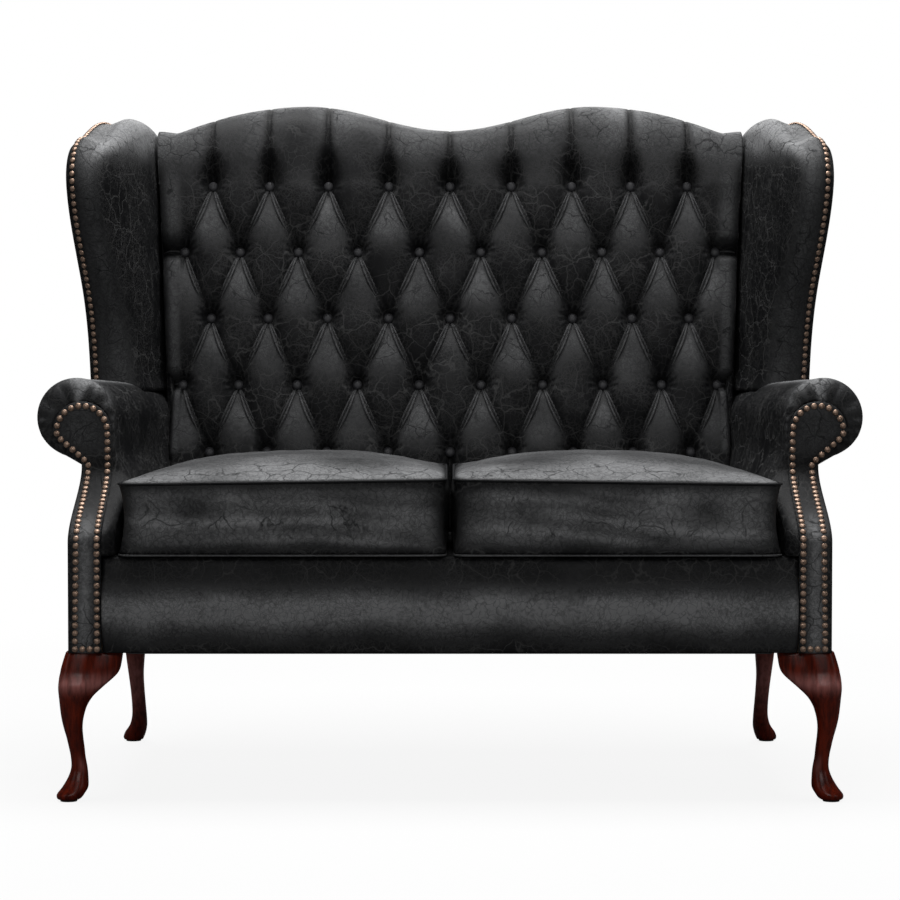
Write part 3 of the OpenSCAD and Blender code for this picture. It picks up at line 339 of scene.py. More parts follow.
def math_node(tree, operation, value, *others, clamped=False):
    """Math nodes that take in one socket or number after the other; returns the last output."""
    for other in others:
        value = node(tree, "ShaderNodeMath", {0: value, 1: other}, operation=operation, use_clamp=clamped)[0]
    return value


def times(tree, *values, clamped=False):
    return math_node(tree, "MULTIPLY", *values, clamped=clamped)


def plus(tree, *values, clamped=False):
    return math_node(tree, "ADD", *values, clamped=clamped)


# ---------------------------------------------------------------- geometry nodes

def geometry_start(name, inputs):
    inputs = [("Geometry", "Geometry", None), *inputs, ("Finish", "Material", None)]
    return group_start(name, "GeometryNodeTree", inputs, [("Geometry", "Geometry")])


def geometry_end(tree, start, end, shape):
    """Makes the shape plain geometry with its finish, and ends the tree with it."""
    real = node(tree, "GeometryNodeRealizeInstances", {"Geometry": shape})
    done = node(tree, "GeometryNodeSetMaterial", {"Geometry": real["Geometry"], "Material": start["Finish"]})
    tree.links.new(done["Geometry"], end["Geometry"])
    return tree


def repeat_tree():
    """Sets a shape on every point, along the point's own direction, at the point's own size."""
    tree, start, end = geometry_start("repeat_on_points", [
        ("Shape", "Object", None), ("Size", "Float", 1.0), ("Uneven", "Float", 0.0), ("Seed", "Int", 3)])
    shape = node(tree, "GeometryNodeObjectInfo", {"Object": start["Shape"]})
    facing = node(tree, "GeometryNodeInputNamedAttribute", {"Name": "facing"}, data_type="FLOAT_VECTOR")
    turn = node(tree, "FunctionNodeAlignRotationToVector", {"Vector": facing["Attribute"]}, axis="Z")
    least = math_node(tree, "SUBTRACT", 1.0, start["Uneven"])
    share = node(tree, "FunctionNodeRandomValue", {2: least, 3: 1.0, "Seed": start["Seed"]}, data_type="FLOAT")
    points = node(tree, "GeometryNodeMeshToPoints", {"Mesh": start["Geometry"]})
    shapes = node(tree, "GeometryNodeInstanceOnPoints", {
        "Points": points["Points"], "Instance": shape["Geometry"], "Rotation": turn["Rotation"],
        "Scale": times(tree, start["Size"], share[1])})
    return geometry_end(tree, start, end, shapes["Instances"])


def cord_tree():
    """Sweeps a round section along every line of a wire mesh, at the line's own share of the radius."""
    tree, start, end = geometry_start("round_along_lines", [("Radius", "Float", 0.0025), ("Sides", "Int", 8)])
    curve = node(tree, "GeometryNodeMeshToCurve", {"Mesh": start["Geometry"]})
    share = node(tree, "GeometryNodeInputNamedAttribute", {"Name": "share"}, data_type="FLOAT")
    section = node(tree, "GeometryNodeCurvePrimitiveCircle", {"Radius": 1.0, "Resolution": start["Sides"]})
    sweep = node(tree, "GeometryNodeCurveToMesh", {
        "Curve": curve["Curve"], "Profile Curve": section["Curve"], "Fill Caps": True,
        "Scale": times(tree, start["Radius"], share["Attribute"])})
    soft = node(tree, "GeometryNodeSetShadeSmooth", {"Geometry": sweep["Mesh"]})
    return geometry_end(tree, start, end, soft["Geometry"])


def run_tree(name, base, tree, values):
    """Runs a tree on a base mesh and returns the result as a plain object."""
    seed = placed(name + "_base", base)
    modifier = seed.modifiers.new("make", "NODES")
    modifier.node_group = tree
    for item in tree.interface.items_tree:
        if item.in_out == "INPUT" and item.name in values:
            modifier[item.identifier] = values[item.name]
    mesh = evaluated_mesh(seed)
    mesh.name = name
    bpy.data.objects.remove(seed)
    cleaned(mesh, 1e-6)
    for layer in ("facing", "share"):
        if layer in mesh.attributes:
            mesh.attributes.remove(mesh.attributes[layer])
    return placed(name, mesh)


def evaluated_mesh(piece):
    """A plain mesh of the piece with its modifiers applied."""
    return bpy.data.meshes.new_from_object(piece.evaluated_get(bpy.context.evaluated_depsgraph_get()))


def marked_mesh(name, points, edges, layer, kind, values):
    """A wire mesh from points in mm, with a named value on every point."""
    mesh = bpy.data.meshes.new(name)
    mesh.from_pydata((np.asarray(points, float) / 1000).tolist(), edges, [])
    marks = mesh.attributes.new(layer, kind, "POINT").data
    marks.foreach_set("vector" if kind == "FLOAT_VECTOR" else "value", np.asarray(values, np.float32).ravel())
    return mesh


def repeated(name, spots, ways, tree, values):
    """A shape on every spot, turned toward the spot's way."""
    return run_tree(name, marked_mesh(name + "_spots", spots, [], "facing", "FLOAT_VECTOR", ways), tree, values)


def cords(name, lines, shares, tree, values, closed=False):
    """A round cord along every line, each point with its share of the radius."""
    points, edges, sizes = [], [], []
    for line, share in zip(lines, shares):
        ids = list(range(len(points), len(points) + len(line)))
        edges += list(zip(ids, ids[1:] + ids[:1] if closed else ids[1:]))
        points += list(line)
        sizes += list(np.broadcast_to(share, len(line)))
    return run_tree(name, marked_mesh(name + "_lines", points, edges, "share", "FLOAT", sizes), tree, values)


def turned_shape(name, outline, sides, material):
    """A closed turned shape from radius and height pairs in metres, for use on points."""
    a = np.arange(sides) * 2 * np.pi / sides
    return skin(name, [1000 * joined(r * np.cos(a), r * np.sin(a), z) for r, z in outline], material)


# ---------------------------------------------------------------- materials

def remap(tree, value, low, high, to_low=0.0, to_high=1.0):
    """The value smoothly brought from one range to another, and kept inside it."""
    return node(tree, "ShaderNodeMapRange", {"Value": value, "From Min": low, "From Max": high, "To Min": to_low,
                                             "To Max": to_high}, interpolation_type="SMOOTHSTEP")["Result"]


def noise(tree, vector, scale, detail, rough):
    return node(tree, "ShaderNodeTexNoise", {"Vector": vector, "Scale": scale, "Detail": detail,
                                             "Roughness": rough})["Fac"]


def cells(tree, vector, scale, feature):
    return node(tree, "ShaderNodeTexVoronoi", {"Vector": vector, "Scale": scale}, feature=feature)["Distance"]


def own_place(tree):
    return node(tree, "ShaderNodeTexCoord")["Object"]


def painted_light_and_wear_share(tree):
    """The piece's own attribute of painted light and wear."""
    return node(tree, "ShaderNodeAttribute", attribute_name="painted_light_and_wear")["Fac"]


def vector_node(tree, operation, inputs):
    return node(tree, "ShaderNodeVectorMath", inputs, operation=operation)


def mix_colour(tree, factor, first, second):
    first, second = (c if isinstance(c, bpy.types.NodeSocket) else (*c[:3], 1.0) for c in (first, second))
    return node(tree, "ShaderNodeMix", {0: factor, 6: first, 7: second}, data_type="RGBA")[2]


# share of the crack scale, share of the width, higher edge of the patches, strength, scale of the patches
CRACK_LEVELS = ((0.36, 0.8, 0.0, 1.0, 7.0), (1.0, 1.2, 0.0, 0.55, 9.0), (1.9, 2.0, 0.03, 0.5, 14.0))


def crackle_group():
    """Fine cracks of an antiqued leather, its cloudy wear and its grain."""
    tree, start, end = group_start("antique_crackle", "ShaderNodeTree", [
        ("Crack Scale", "Float", 42.0), ("Crack Width", "Float", 0.05), ("Spread", "Float", 0.5),
        ("Coarse", "Float", 1.0)], [("Cracks", "Float"), ("Clouds", "Float"), ("Height", "Float")])
    place = own_place(tree)
    bend = noise(tree, place, 16.0, 4.0, 0.6).node.outputs["Color"]
    shift = vector_node(tree, "SUBTRACT", {0: bend, 1: (0.5, 0.5, 0.5)})[0]
    push = vector_node(tree, "SCALE", {0: shift, "Scale": 0.045})[0]
    bent = vector_node(tree, "ADD", {0: place, 1: push})[0]
    cracks = []
    for factor, width, share, strength, broad in CRACK_LEVELS:
        edge_distance = cells(tree, bent, times(tree, start["Crack Scale"], factor), "DISTANCE_TO_EDGE")
        near = math_node(tree, "DIVIDE", edge_distance, times(tree, start["Crack Width"], width))
        line = math_node(tree, "SUBTRACT", 1.0, near, clamped=True)
        edge = plus(tree, times(tree, start["Spread"], -0.3), 0.62 + share)
        patch = math_node(tree, "SUBTRACT", noise(tree, place, broad, 3.0, 0.6), edge)
        cracks.append(times(tree, line, times(tree, patch, 9.0, clamped=True), strength))
    cracks[0] = times(tree, cracks[0], start["Coarse"])
    deepest = math_node(tree, "MAXIMUM", *cracks)
    clouds = times(tree, remap(tree, noise(tree, place, 9.0, 6.0, 0.62), 0.3, 0.7), 0.5)
    mottle = times(tree, remap(tree, noise(tree, bent, 170.0, 4.0, 0.7), 0.32, 0.68), 0.5)
    grain = plus(tree, times(tree, cells(tree, bent, 520.0, "SMOOTH_F1"), 0.20),
                 times(tree, noise(tree, place, 900.0, 2.0, 0.5), 0.10),
                 times(tree, noise(tree, place, 60.0, 4.0, 0.55), 0.60))
    height = math_node(tree, "SUBTRACT", grain, times(tree, deepest, 0.55))
    feed(tree, end, {"Cracks": deepest, "Clouds": plus(tree, clouds, mottle), "Height": height})
    return tree


def weave_group():
    """Crossed threads along X and Y, as in webbing and lining cloth."""
    tree, start, end = group_start("crossed_threads", "ShaderNodeTree", [("Threads", "Float", 900.0)],
                                   [("Threads", "Float")])
    parts = node(tree, "ShaderNodeSeparateXYZ", {0: own_place(tree)})
    waves = [node(tree, "ShaderNodeMath", {0: times(tree, parts[axis], start["Threads"])}, operation="SINE")[0]
             for axis in ("X", "Y")]
    feed(tree, end, {"Threads": remap(tree, times(tree, *waves), -1.0, 1.0)})
    return tree


def material_start(name):
    material = bpy.data.materials.new(name)
    material.use_nodes = True
    tree = material.node_tree
    return material, tree, tree.nodes["Principled BSDF"].inputs


def bump(tree, height, strength, distance):
    return node(tree, "ShaderNodeBump", {"Height": height, "Strength": strength, "Distance": distance})["Normal"]


def leather_material(name, colour, painted_light_and_worn, crack, spread, scale, shine=0.12, rough=(0.42, 0.60),
                     coarse=(0.14, 0.22)):
    """Black leather, made paler as painted light and as wear where the piece's attribute says, with fine cracks.

    Coarse cracks show on the dark leather, and where the painted light and wear pass the two values of coarse.
    """
    material, tree, shader = material_start(name)
    painted_light_and_wear_value = painted_light_and_wear_share(tree)
    gate = math_node(tree, "MAXIMUM", remap(tree, painted_light_and_wear_value, 0.05, 0.12, 1.0, 0.0), remap(tree, painted_light_and_wear_value, *coarse))
    group = node(tree, "ShaderNodeGroup", {"Crack Scale": scale, "Spread": spread, "Coarse": gate},
                 node_tree=bpy.data.node_groups.get("antique_crackle") or crackle_group())
    cloudy = plus(tree, times(tree, group["Clouds"], 1.1), 0.45)
    # painted highlights and wear: the base turns toward the paler colour where the attribute says
    base = mix_colour(tree, times(tree, painted_light_and_wear_value, cloudy, clamped=True), colour, painted_light_and_worn)
    # a crack is pale on the dark leather and dark where painted light and wear make the leather pale
    line = mix_colour(tree, remap(tree, painted_light_and_wear_value, 0.07, 0.18), crack, colour)
    roughness = remap(tree, group["Clouds"], 0.0, 1.0, *rough)
    feed(tree, shader, {
        "Base Color": mix_colour(tree, times(tree, group["Cracks"], 0.8), base, line),
        "Roughness": plus(tree, roughness, times(tree, group["Cracks"], 0.4), clamped=True),
        "Specular IOR Level": shine, "Normal": bump(tree, group["Height"], 0.45, 0.0010)})
    return material


def wood_material(name, colour, dark, scale, rough, relief, polish=0.0):
    """Straight grain along one axis. Where polish is above 0 it is clear, and paler with a painted highlight where the
    piece's attribute says.
    """
    material, tree, shader = material_start(name)
    stretched = node(tree, "ShaderNodeMapping", {"Vector": own_place(tree), "Scale": scale})["Vector"]
    bands = noise(tree, stretched, 10.0, 7.0, 0.6)
    factor = remap(tree, bands, 0.32, 0.68)
    pits = remap(tree, noise(tree, stretched, 70.0, 3.0, 0.5), 0.58, 0.7)
    base = mix_colour(tree, times(tree, pits, 0.5), mix_colour(tree, factor, dark, colour), [c * 0.45 for c in dark])
    if polish:
        # a painted highlight: the polish turns a paler red where the attribute says
        streaky = plus(tree, times(tree, factor, 0.5), 0.5)
        base = mix_colour(tree, times(tree, painted_light_and_wear_share(tree), streaky), base, (0.40, 0.16, 0.145))
        feed(tree, shader, {"Coat Weight": polish, "Coat Roughness": 0.26, "Specular IOR Level": 0.0})
    feed(tree, shader, {"Base Color": base, "Roughness": remap(tree, bands, 0.3, 0.7, *rough),
                        "Normal": bump(tree, bands, relief, 0.0006)})
    return material


def brass_material(name, colour, tarnish):
    material, tree, shader = material_start(name)
    spots = noise(tree, own_place(tree), 420.0, 3.0, 0.6)
    feed(tree, shader, {"Base Color": mix_colour(tree, remap(tree, spots, 0.28, 0.62), tarnish, colour),
                        "Roughness": remap(tree, spots, 0.3, 0.7, 0.56, 0.40), "Metallic": 0.85,
                        "Normal": bump(tree, spots, 0.2, 0.0003)})
    return material


def cloth_material(name, colour, dark, threads):
    material, tree, shader = material_start(name)
    woven = node(tree, "ShaderNodeGroup", {"Threads": threads},
                 node_tree=bpy.data.node_groups.get("crossed_threads") or weave_group())["Threads"]
    feed(tree, shader, {"Base Color": mix_colour(tree, woven, dark, colour), "Roughness": 0.9,
                        "Normal": bump(tree, woven, 0.5, 0.0005)})
    return material


CLOTHS = {
    "jute": ((0.42, 0.30, 0.16), (0.2, 0.13, 0.06), 2400.0),
    "lining": ((0.035, 0.035, 0.037), (0.012, 0.012, 0.013), 4200.0),
    "glide_felt": ((0.06, 0.052, 0.045), (0.02, 0.018, 0.016), 5200.0),
}


def finish(name):
    """The finish called name, made once from the sizes and colours of the panel."""
    made = bpy.data.materials.get(name)
    if made:
        return made
    if name in CLOTHS:
        return cloth_material(name, *CLOTHS[name])
    looks = bpy.context.scene.settee_looks
    if name == "old_brass":
        return brass_material(name, looks.brass, [c * 0.3 for c in looks.brass])
    if name == "beech":
        return wood_material(name, (0.52, 0.34, 0.17), (0.33, 0.19, 0.085), (1.6, 14.0, 14.0), (0.62, 0.8), 0.4)
    if name == "mahogany":
        return wood_material(name, looks.mahogany, [c * 0.3 for c in looks.mahogany], (14.0, 14.0, 1.6),
                             (0.34, 0.46), 0.15, polish=0.4)
    tone, spread, scale, more = {
        "leather": (1.0, looks.crackle, 80.0, {}),
        "border_leather": (1.0, looks.crackle, 80.0, {"coarse": (2.0, 3.0)}),
        "seat_leather": (1.0, looks.crackle + 0.1, 55.0, {"coarse": (0.55, 0.75)}),
        # the buttons are a darker copy of the leather, painted shade for their hollows
        "button_leather": (0.6, 0.1, 80.0, {"shine": 0.02, "rough": (0.50, 0.62)}),
        # the piping is a paler copy of the leather, a painted highlight
        "piping_leather_painted_highlight": (1.5, 0.2, 80.0, {}),
    }[name]
    return leather_material(name, [c * tone for c in looks.leather], looks.painted_light_and_worn, looks.crack, spread, scale, **more)


# ---------------------------------------------------------------- back

CREST_SHAPE = [(0, 1), (0.42, 1.0), (0.75, 0.93), (0.93, 0.72), (1.0, 0.45), (0.985, 0.2), (0.9, 0.0)]


def tuft(k, r):
    """Share of the padding's depth: nothing at a button, low along the folds, full in each diamond."""
    a, b = np.pi * (k + r / 2), np.pi * (k - r / 2)
    dome = np.sqrt(np.maximum(0, 1 - np.cos(a) ** 2 * np.cos(b) ** 2))
    fold = (np.abs(np.sin(a)) * np.abs(np.sin(b))) ** 0.5
    return 0.5 * dome + 0.5 * fold


def near_button(k, r):
    """Distance from the nearest button, and the pleats that run in to it."""
    row = np.clip(np.round(r), 0, ROWS - 1)
    column = np.where(row % 2 > 0, np.clip(np.round(k - 0.5) + 0.5, -4.5, 4.5), np.clip(np.round(k), -4, 4))
    across, up = column_x(k) - column_x(column), (r - row) * ROW_PITCH
    return np.hypot(across, up), np.cos(12 * np.arctan2(up, across) + 2.0 * np.sin(3 * column + 5 * row))


def valley(t):
    """Toward the wing the padding falls into a soft valley."""
    return 9 * clamp((t - 0.6) / 0.4) ** 2


def back_w(k, r, depth):
    """Forward place of the padding at column k and row r, without the crest."""
    kk = np.clip(k, -OUT_COL, OUT_COL)
    share = tuft(kk, r)
    # a short level fold runs from each last button of the odd rows to the wing
    past = clamp((np.abs(k) - OUT_COL) / 0.04)
    share = lerp(share, lerp(share, 1.0, 0.55) * (1 - 0.45 * bell(r % 2, 1, 0.06)), past)
    # the leather is drawn in tight round every button
    d, rays = near_button(kk, r)
    well, pucker = 17.0 * bell(d, 0, 13.5), 1.5 * bell(d, 17, 8) * rays
    belly = 1.6 * ripple(column_x(kk), LOW_ROW + r * ROW_PITCH, 11, 90)
    return -PLANE - depth * share + well - (pucker + belly) * clamp(share * 1.6)


def back_painted_light(k, r, t):
    """Painted light on the back: a painted highlight below each button, and painted shade in the folds and above the
    buttons.
    """
    a, b = (k + r / 2) % 1, (k - r / 2) % 1
    down, inside = (1 - a + b) / 2, np.minimum(inward(a), inward(b))
    lit = 0.27 * smooth((down - 0.05) / 0.13) * (1 - smooth((down - 0.28) / 0.32)) + 0.02
    lit = lit * smooth((inside - 0.03) / 0.13) * (0.85 + 0.4 * ripple(column_x(k), r * ROW_PITCH, 14, 150))
    d, rays = near_button(k, r)
    lit = lit * smooth((d - 12) / 20) + 0.13 * clamp(rays) ** 2 * bell(d, 19, 7)
    side = 0.26 * arch(clamp(t * 0.9 + 0.1)) * (1 - bell(r % 2, 1, 0.14))
    return lerp(lit * (1 - 0.32 * clamp((3.2 - r) / 3)), side, smooth(t * 3))


def back_rings(depth):
    """Upright rings round the back pad from wing to wing, and the painted light at each point."""
    steps, hidden_w, foot_w = 34, -47.3, -PLANE * 0.84
    strip = np.array([0.12, 0.24, 0.38, 0.52, 0.66, 0.78, 0.88, 0.95, 1.0])
    ks = np.arange(-OUT_COL * steps, OUT_COL * steps + 1) / steps
    columns = [(-OUT_COL, t) for t in strip[::-1]] + [(k, 0.0) for k in ks] + [(OUT_COL, t) for t in strip]
    rs = np.arange(0, (ROWS - 1) * steps + 1) / steps
    h = LOW_ROW + rs * ROW_PITCH
    over, forward = spline(CREST_SHAPE, 34)[1:-1].T
    foot_h = (SEAT_LOW - BASE_Z) / COS
    low = ramp(14)[1:-1]
    rings, painted_lights = [], []
    for k, t in columns:
        side = -1 if k < 0 else 1
        x0 = column_x(k)
        w = back_w(k + side * t * 0.25, rs, depth) + valley(t)
        crest = crest_h(lerp(abs(x0), 512, t)) + 5.0 * smooth(t)
        # from the top row over the crest each fold runs on as a thin pleat
        pleat = abs(x0 - column_x(np.clip(np.round(k), -4, 4)))
        full = -PLANE - 0.97 * depth + 6.0 * bell(pleat, 0, 16) * (1 - 0.7 * over)
        full = lerp(full + 5.5 * bell(pleat, 0, 2.4) * (1 - t), -PLANE - 0.9 * depth, t)
        foot = lerp(foot_w, w[0], low ** 0.6) - 6.0 * arch(low) * tuft(k, ROWS - 1)
        foot_line = foot_h + foot_w * TAN + FIT
        ring_w = np.concatenate([[hidden_w, hidden_w, foot_w], foot, w,
                                 forward * lerp(w[-1], full, smooth(over / 0.45)), [0.0]])
        ring_h = np.concatenate([[crest - 20, foot_h + hidden_w * TAN + FIT, foot_line], lerp(foot_line, h[0], low),
                                 h, lerp(h[-1], crest, over), [crest - 20]])
        place = raked(x0, ring_w, ring_h)
        if t > 0:
            edge = np.where(place[:, 2] < WING_Z, inner_x(place[:, 1]) - 0.6, pad_half_w(place[:, 2]))
            place[:, 0] = side * lerp(abs(x0), edge, t)
        rings.append(place)
        lit = back_painted_light(k, rs, t)
        # over the crest a painted highlight runs along the top edge, with painted shade along each thin pleat
        flute = smooth((pleat - lerp(13.0, 1.0, smooth(over / 0.7))) / 14)
        flute = flute * (0.85 + 0.4 * ripple(x0, 60 * over, 15, 90))
        top = lerp(0.07, 0.22, smooth((over - 0.1) / 0.5)) + 0.32 * bell(over, 0.95, 0.12)
        painted_lights.append(np.concatenate([np.zeros(3 + len(low)), lit, lerp(lit[-1], flute * top, smooth(over / 0.3)),
                                    [0.0]]))
    return rings, painted_lights


def button_columns():
    """Column and row of every button, row by row; the odd rows stand half a column over."""
    for r in range(ROWS):
        last = 4 + r % 2 / 2
        yield from ((k, r) for k in np.arange(-last, last + 1))


def fold_lines(depth):
    """The folds that run from button to button and out to the wings, and their shares of the radius."""
    lines, shares = [], []
    t = ramp(22)
    # a fold is full below its upper button and runs out toward the lower one
    near = smooth(np.minimum((1 - t) / 0.14, (t - 0.16) / 0.34))
    for k0, r0 in button_columns():
        for side in (-0.5, 0.5):
            if r0 == ROWS - 1 or abs(k0 + side) > OUT_COL:
                continue
            for bow in (0.0, 0.14 * side):
                k, r = lerp(k0, k0 + side, t) + bow * arch(t), lerp(r0, r0 + 1, t)
                w = back_w(k, r, depth) + 1.4 - 2.8 * near
                lines.append(raked(column_x(k), w, LOW_ROW + r * ROW_PITCH))
                shares.append(0.15 + 0.75 * near)
    # out to the wing, level with the last button
    t = np.linspace(0.1, 0.92, 12)
    for r in (1, 3):
        h = LOW_ROW + r * ROW_PITCH
        x = lerp(column_x(OUT_COL), pad_half_w(BASE_Z + h * COS + 25), t)
        w = back_w(OUT_COL + 0.25 * t, float(r), depth) + valley(t)
        for side, _ in SIDES:
            lines.append(raked(side * x, w - 1.0, h + 2.0 * arch(t)))
            shares.append(0.3 + 0.6 * arch(t))
    return lines, shares


def button_spots():
    spots = [raked(column_x(k), -PLANE + 7.0, LOW_ROW + r * ROW_PITCH) for k, r in button_columns()]
    return spots, np.tile([0.0, -COS, SIN], (len(spots), 1))


# ---------------------------------------------------------------- wings

def wing_edge(n=96):
    """Side view of the wing's edge, up the front, round the corner and back: points, their ways, and lengths."""
    t = ramp(n)
    front = joined(lerp(50.0, WING_NOSE_Y, smooth(t) ** 1.5), lerp(WING_Z, WING_NOSE_Z, t))
    a = np.linspace(0, np.pi / 2, n // 3)[1:]
    corner = joined(40 - 92 * np.cos(a), WING_NOSE_Z + 84 * np.sin(a))
    t = ramp(n // 2)[1:]
    top = joined(lerp(40.0, post_front_y(WING_TOP) - FIT, t), 1054 + 30 * t + 25 * arch(t))
    # even spacing keeps the nails and the puckers regular
    edge, s = spaced(np.vstack([front, corner, top]), n)
    way = np.gradient(edge, axis=0)
    way[0], way[-1] = (0, 1), (COS, -SIN)
    return edge, unit(way), s


def wing_inset(edge, way, d):
    return edge + np.reshape(d, (-1, 1)) * joined(way[:, 1], -way[:, 0])


def wing_rings():
    """Rings round the wing's pad, each from the back post over the roll to the hidden outer edge."""
    edge, way, s = wing_edge()
    share = ramp(len(edge))
    z_rear = lerp(WING_Z, WING_TOP - 2 * WING_LAP, share)
    rear = joined(post_front_y(z_rear) - FIT, z_rear)
    roll = wing_inset(edge, way, WING_ROLL)
    sections = []
    for t in ramp(14):
        p = lerp(rear, roll, t)
        swell = 5.0 * clamp(share * 6) + 0.8 * ripple(*p.T, 5, 120)
        sections.append((wing_in(*p.T) - swell * arch(t), p))
    for a in np.linspace(0, np.pi / 2, 12)[1:]:
        p = wing_inset(edge, way, WING_ROLL * (1 - np.sin(a)))
        sections.append((lerp(wing_in(*p.T), wing_out(*p.T), 0.46 * (1 - np.cos(a))), p))
    # round the outer corner, drawn in a little at each nail
    outline = spline([(0, 28.0), (0.8, 20.5), (3.75, 14.25), (6.75, 9.4), (9.75, 4.95), (14.7, 0.0)], 12)[1:]
    hem = [(WING_HEM, 4.3), (WING_LAP, 4.3), (WING_LAP, 15.0), (WING_LAP, WING_EDGE)]
    pucker = 0.8 * np.cos(2 * np.pi * s / NAIL_PITCH)
    for i, (d, depth) in enumerate([*outline, *hem]):
        p = wing_inset(edge, way, d + pucker * bell(d, 4, 5) * (i < len(outline)))
        sections.append((wing_out(*p.T) - depth, p))
    for p in (lerp(wing_inset(edge, way, WING_LAP), rear, 0.5), rear):
        sections.append((wing_out(*p.T) - WING_EDGE, p))
    return shouldered(np.stack([joined(x, *p.T) for x, p in sections], axis=1))


def wing_painted_light(rings):
    """A painted highlight along the roll, brightest where it turns over the top."""
    i = np.arange(rings.shape[1])
    top = smooth((rings[..., 2] - 1000) / 65)
    return bell(i, 22, 4.0) * lerp(0.26, 0.9, top) + top * smooth((i - 6) / 8) * (i < 22)


def panel_rub(grid):
    """Rubbed a little in broad patches over a plain panel."""
    x, y, z = np.moveaxis(grid, -1, 0)
    middle = np.outer(*(arch(ramp(n)) for n in x.shape)) ** 0.6
    return middle * (0.44 + 0.16 * ripple(x if np.ptp(x) > 400 else y, z, 17, 300))


def outside_wing_grids():
    edge, way, _ = wing_edge(70)
    inner = wing_inset(edge, way, WING_HEM)[:, None]
    u, v = ramp(len(edge))[:, None], ramp(26)
    z = lerp(WING_Z, WING_TOP - WING_HEM - FIT, u)
    rear = joined(rear_y(z), z)
    y, z = np.moveaxis(lerp(inner, rear, v[:, None]), -1, 0)
    d = np.minimum(inward(v) * np.linalg.norm(rear - inner, axis=-1), inward(u) * 700)
    x = wing_out(y, z) - 3.0 + edge_swell(d, 10, 3.6) + 0.5 * ripple(y, z, 21, 120)
    return shouldered(joined(x, y, z)), shouldered(joined(wing_out(y, z) - PANEL_T, y, z))


# ---------------------------------------------------------------- arms

INNER_POINTS, ROLL_TURN = 32, np.linspace(180, -75, 44)
WING_START = 0.586  # share of the arm's length at which the wing begins


def arm_y(z, s):
    return lerp(front_line(z) + 6, post_front_y(z) - FIT, s)


def arm_section(s, cap):
    """One section of the arm pad: its points, and the ways in which they are drawn in round the facing."""
    top = ARM_H - ROLL_R - ARM_FALL * s
    seat = top - ROLL_R - NECK_H + FIT
    z = np.concatenate([np.linspace(SEAT_LOW, seat, 22)[:-1], np.linspace(seat, top, 12)[:-1]])
    y = arm_y(z, s)
    # beside the cushion the padding swells toward it
    room = inner_x(y) - cushion_outer(np.minimum(y, 118)) - 1.8
    swell = room * (1 - smooth((z - 478) / 62)) * (1 - smooth((y - 100) / 60))
    inner = joined(inner_x(y) - swell, y, z)
    a = np.radians(ROLL_TURN)
    z = np.minimum(cap, top + ROLL_R * np.sin(a))
    y = arm_y(z, s)
    roll = joined(inner_x(y) + ROLL_R * (1 + np.cos(a)), y, z)
    y = arm_y(seat, s)
    neck = joined(side_x(y), y, [seat + 5.1])
    under = joined(lerp(side_x(y), inner_x(y) + RAIL_PAD, ramp(8)), y, seat)
    z = np.linspace(seat, SEAT_LOW, 12)[1:]
    y = arm_y(z, s)
    points = np.concatenate([inner, roll, neck, under, joined(inner_x(y) + RAIL_PAD, y, z)])
    ways = np.zeros((len(points), 2))
    ways[:INNER_POINTS, 0] = 1.0
    ways[INNER_POINTS:INNER_POINTS + len(a)] = -joined(np.cos(a), np.sin(a))
    return points, ways


def gathers(x, z):
    """The leather's gathers round the scroll, from -1 to 1."""
    about = np.arctan2(z - FACE_Z, x - FACE_X)
    return np.cos(about * 19 + 1.5 * np.sin(about * 4))


def facing_bounds(z):
    """The facing's inner and outer edge at height z."""
    reach = np.sqrt(np.maximum(0, FACE_R ** 2 - (z - FACE_Z) ** 2))
    left = np.where(z < FACE_Z, FACE_IN + FIT, FACE_X - reach)
    low_z = FACE_Z - FACE_R * 0.15
    slant = lerp(side_x(SCROLL_Y), FACE_X + FACE_R * math.cos(math.asin(0.15)), (z - TURN_Z) / (low_z - TURN_Z))
    right = np.where(z < TURN_Z, side_x(front_line(z) + 6), np.where(z < low_z, slant, FACE_X + reach))
    return left, right


def arm_rings():
    """Rings of the arm pad: a hidden end, the rounded front edge gathered round the facing, and on to the post."""
    base, ways = arm_section(0.0, ARM_H)
    x, _, z = base.T
    left, right = facing_bounds(z)
    beside = np.where(x < FACE_X, np.abs(x - left), np.minimum(np.abs(x - right), 26))
    room = np.where(z > FACE_Z, np.hypot(x - FACE_X, z - FACE_Z) - FACE_R, beside)
    room = np.clip(room + 1.2, 3.0, 60.0)
    rings = []
    for f in [-1.0, *ramp(13)]:
        a = max(0.0, f) * np.pi / 2
        fullness = arch(clamp(f * 1.1)) * clamp(room / 16 - 0.3)
        inset = room * (1 - np.sin(a)) + 1.5 * gathers(x, z) * fullness
        ring = base.copy()
        ring[:, ::2] += ways * inset[:, None]
        ring[:, 1] += np.minimum(room, 24) * (1 - np.cos(a)) - 3.0 + arm_y(ring[:, 2], 0.0) - arm_y(z, 0.0)
        ring[:, 1] += 26 * (f < 0)
        rings.append(ring)
    # the hidden end is drawn back from the facing
    rings.insert(0, lerp(rings[0], np.array([FACE_X - 20, SCROLL_Y + 70, FACE_Z - 10]), 0.98))
    behind = np.linspace(WING_START + 0.02, 1, 8)
    for s in [*np.linspace(0.05, WING_START, 22), WING_START + 0.004, *behind]:
        ring, _ = arm_section(s, ARM_H if s <= WING_START else WING_Z - FIT)
        x, y, z = ring.T
        z += 0.6 * ripple(y, x, 8, 110) * smooth((s - 0.05) / 0.1) * (z > 500) * (s < WING_START)
        rings.append(ring)
    return np.asarray(rings)


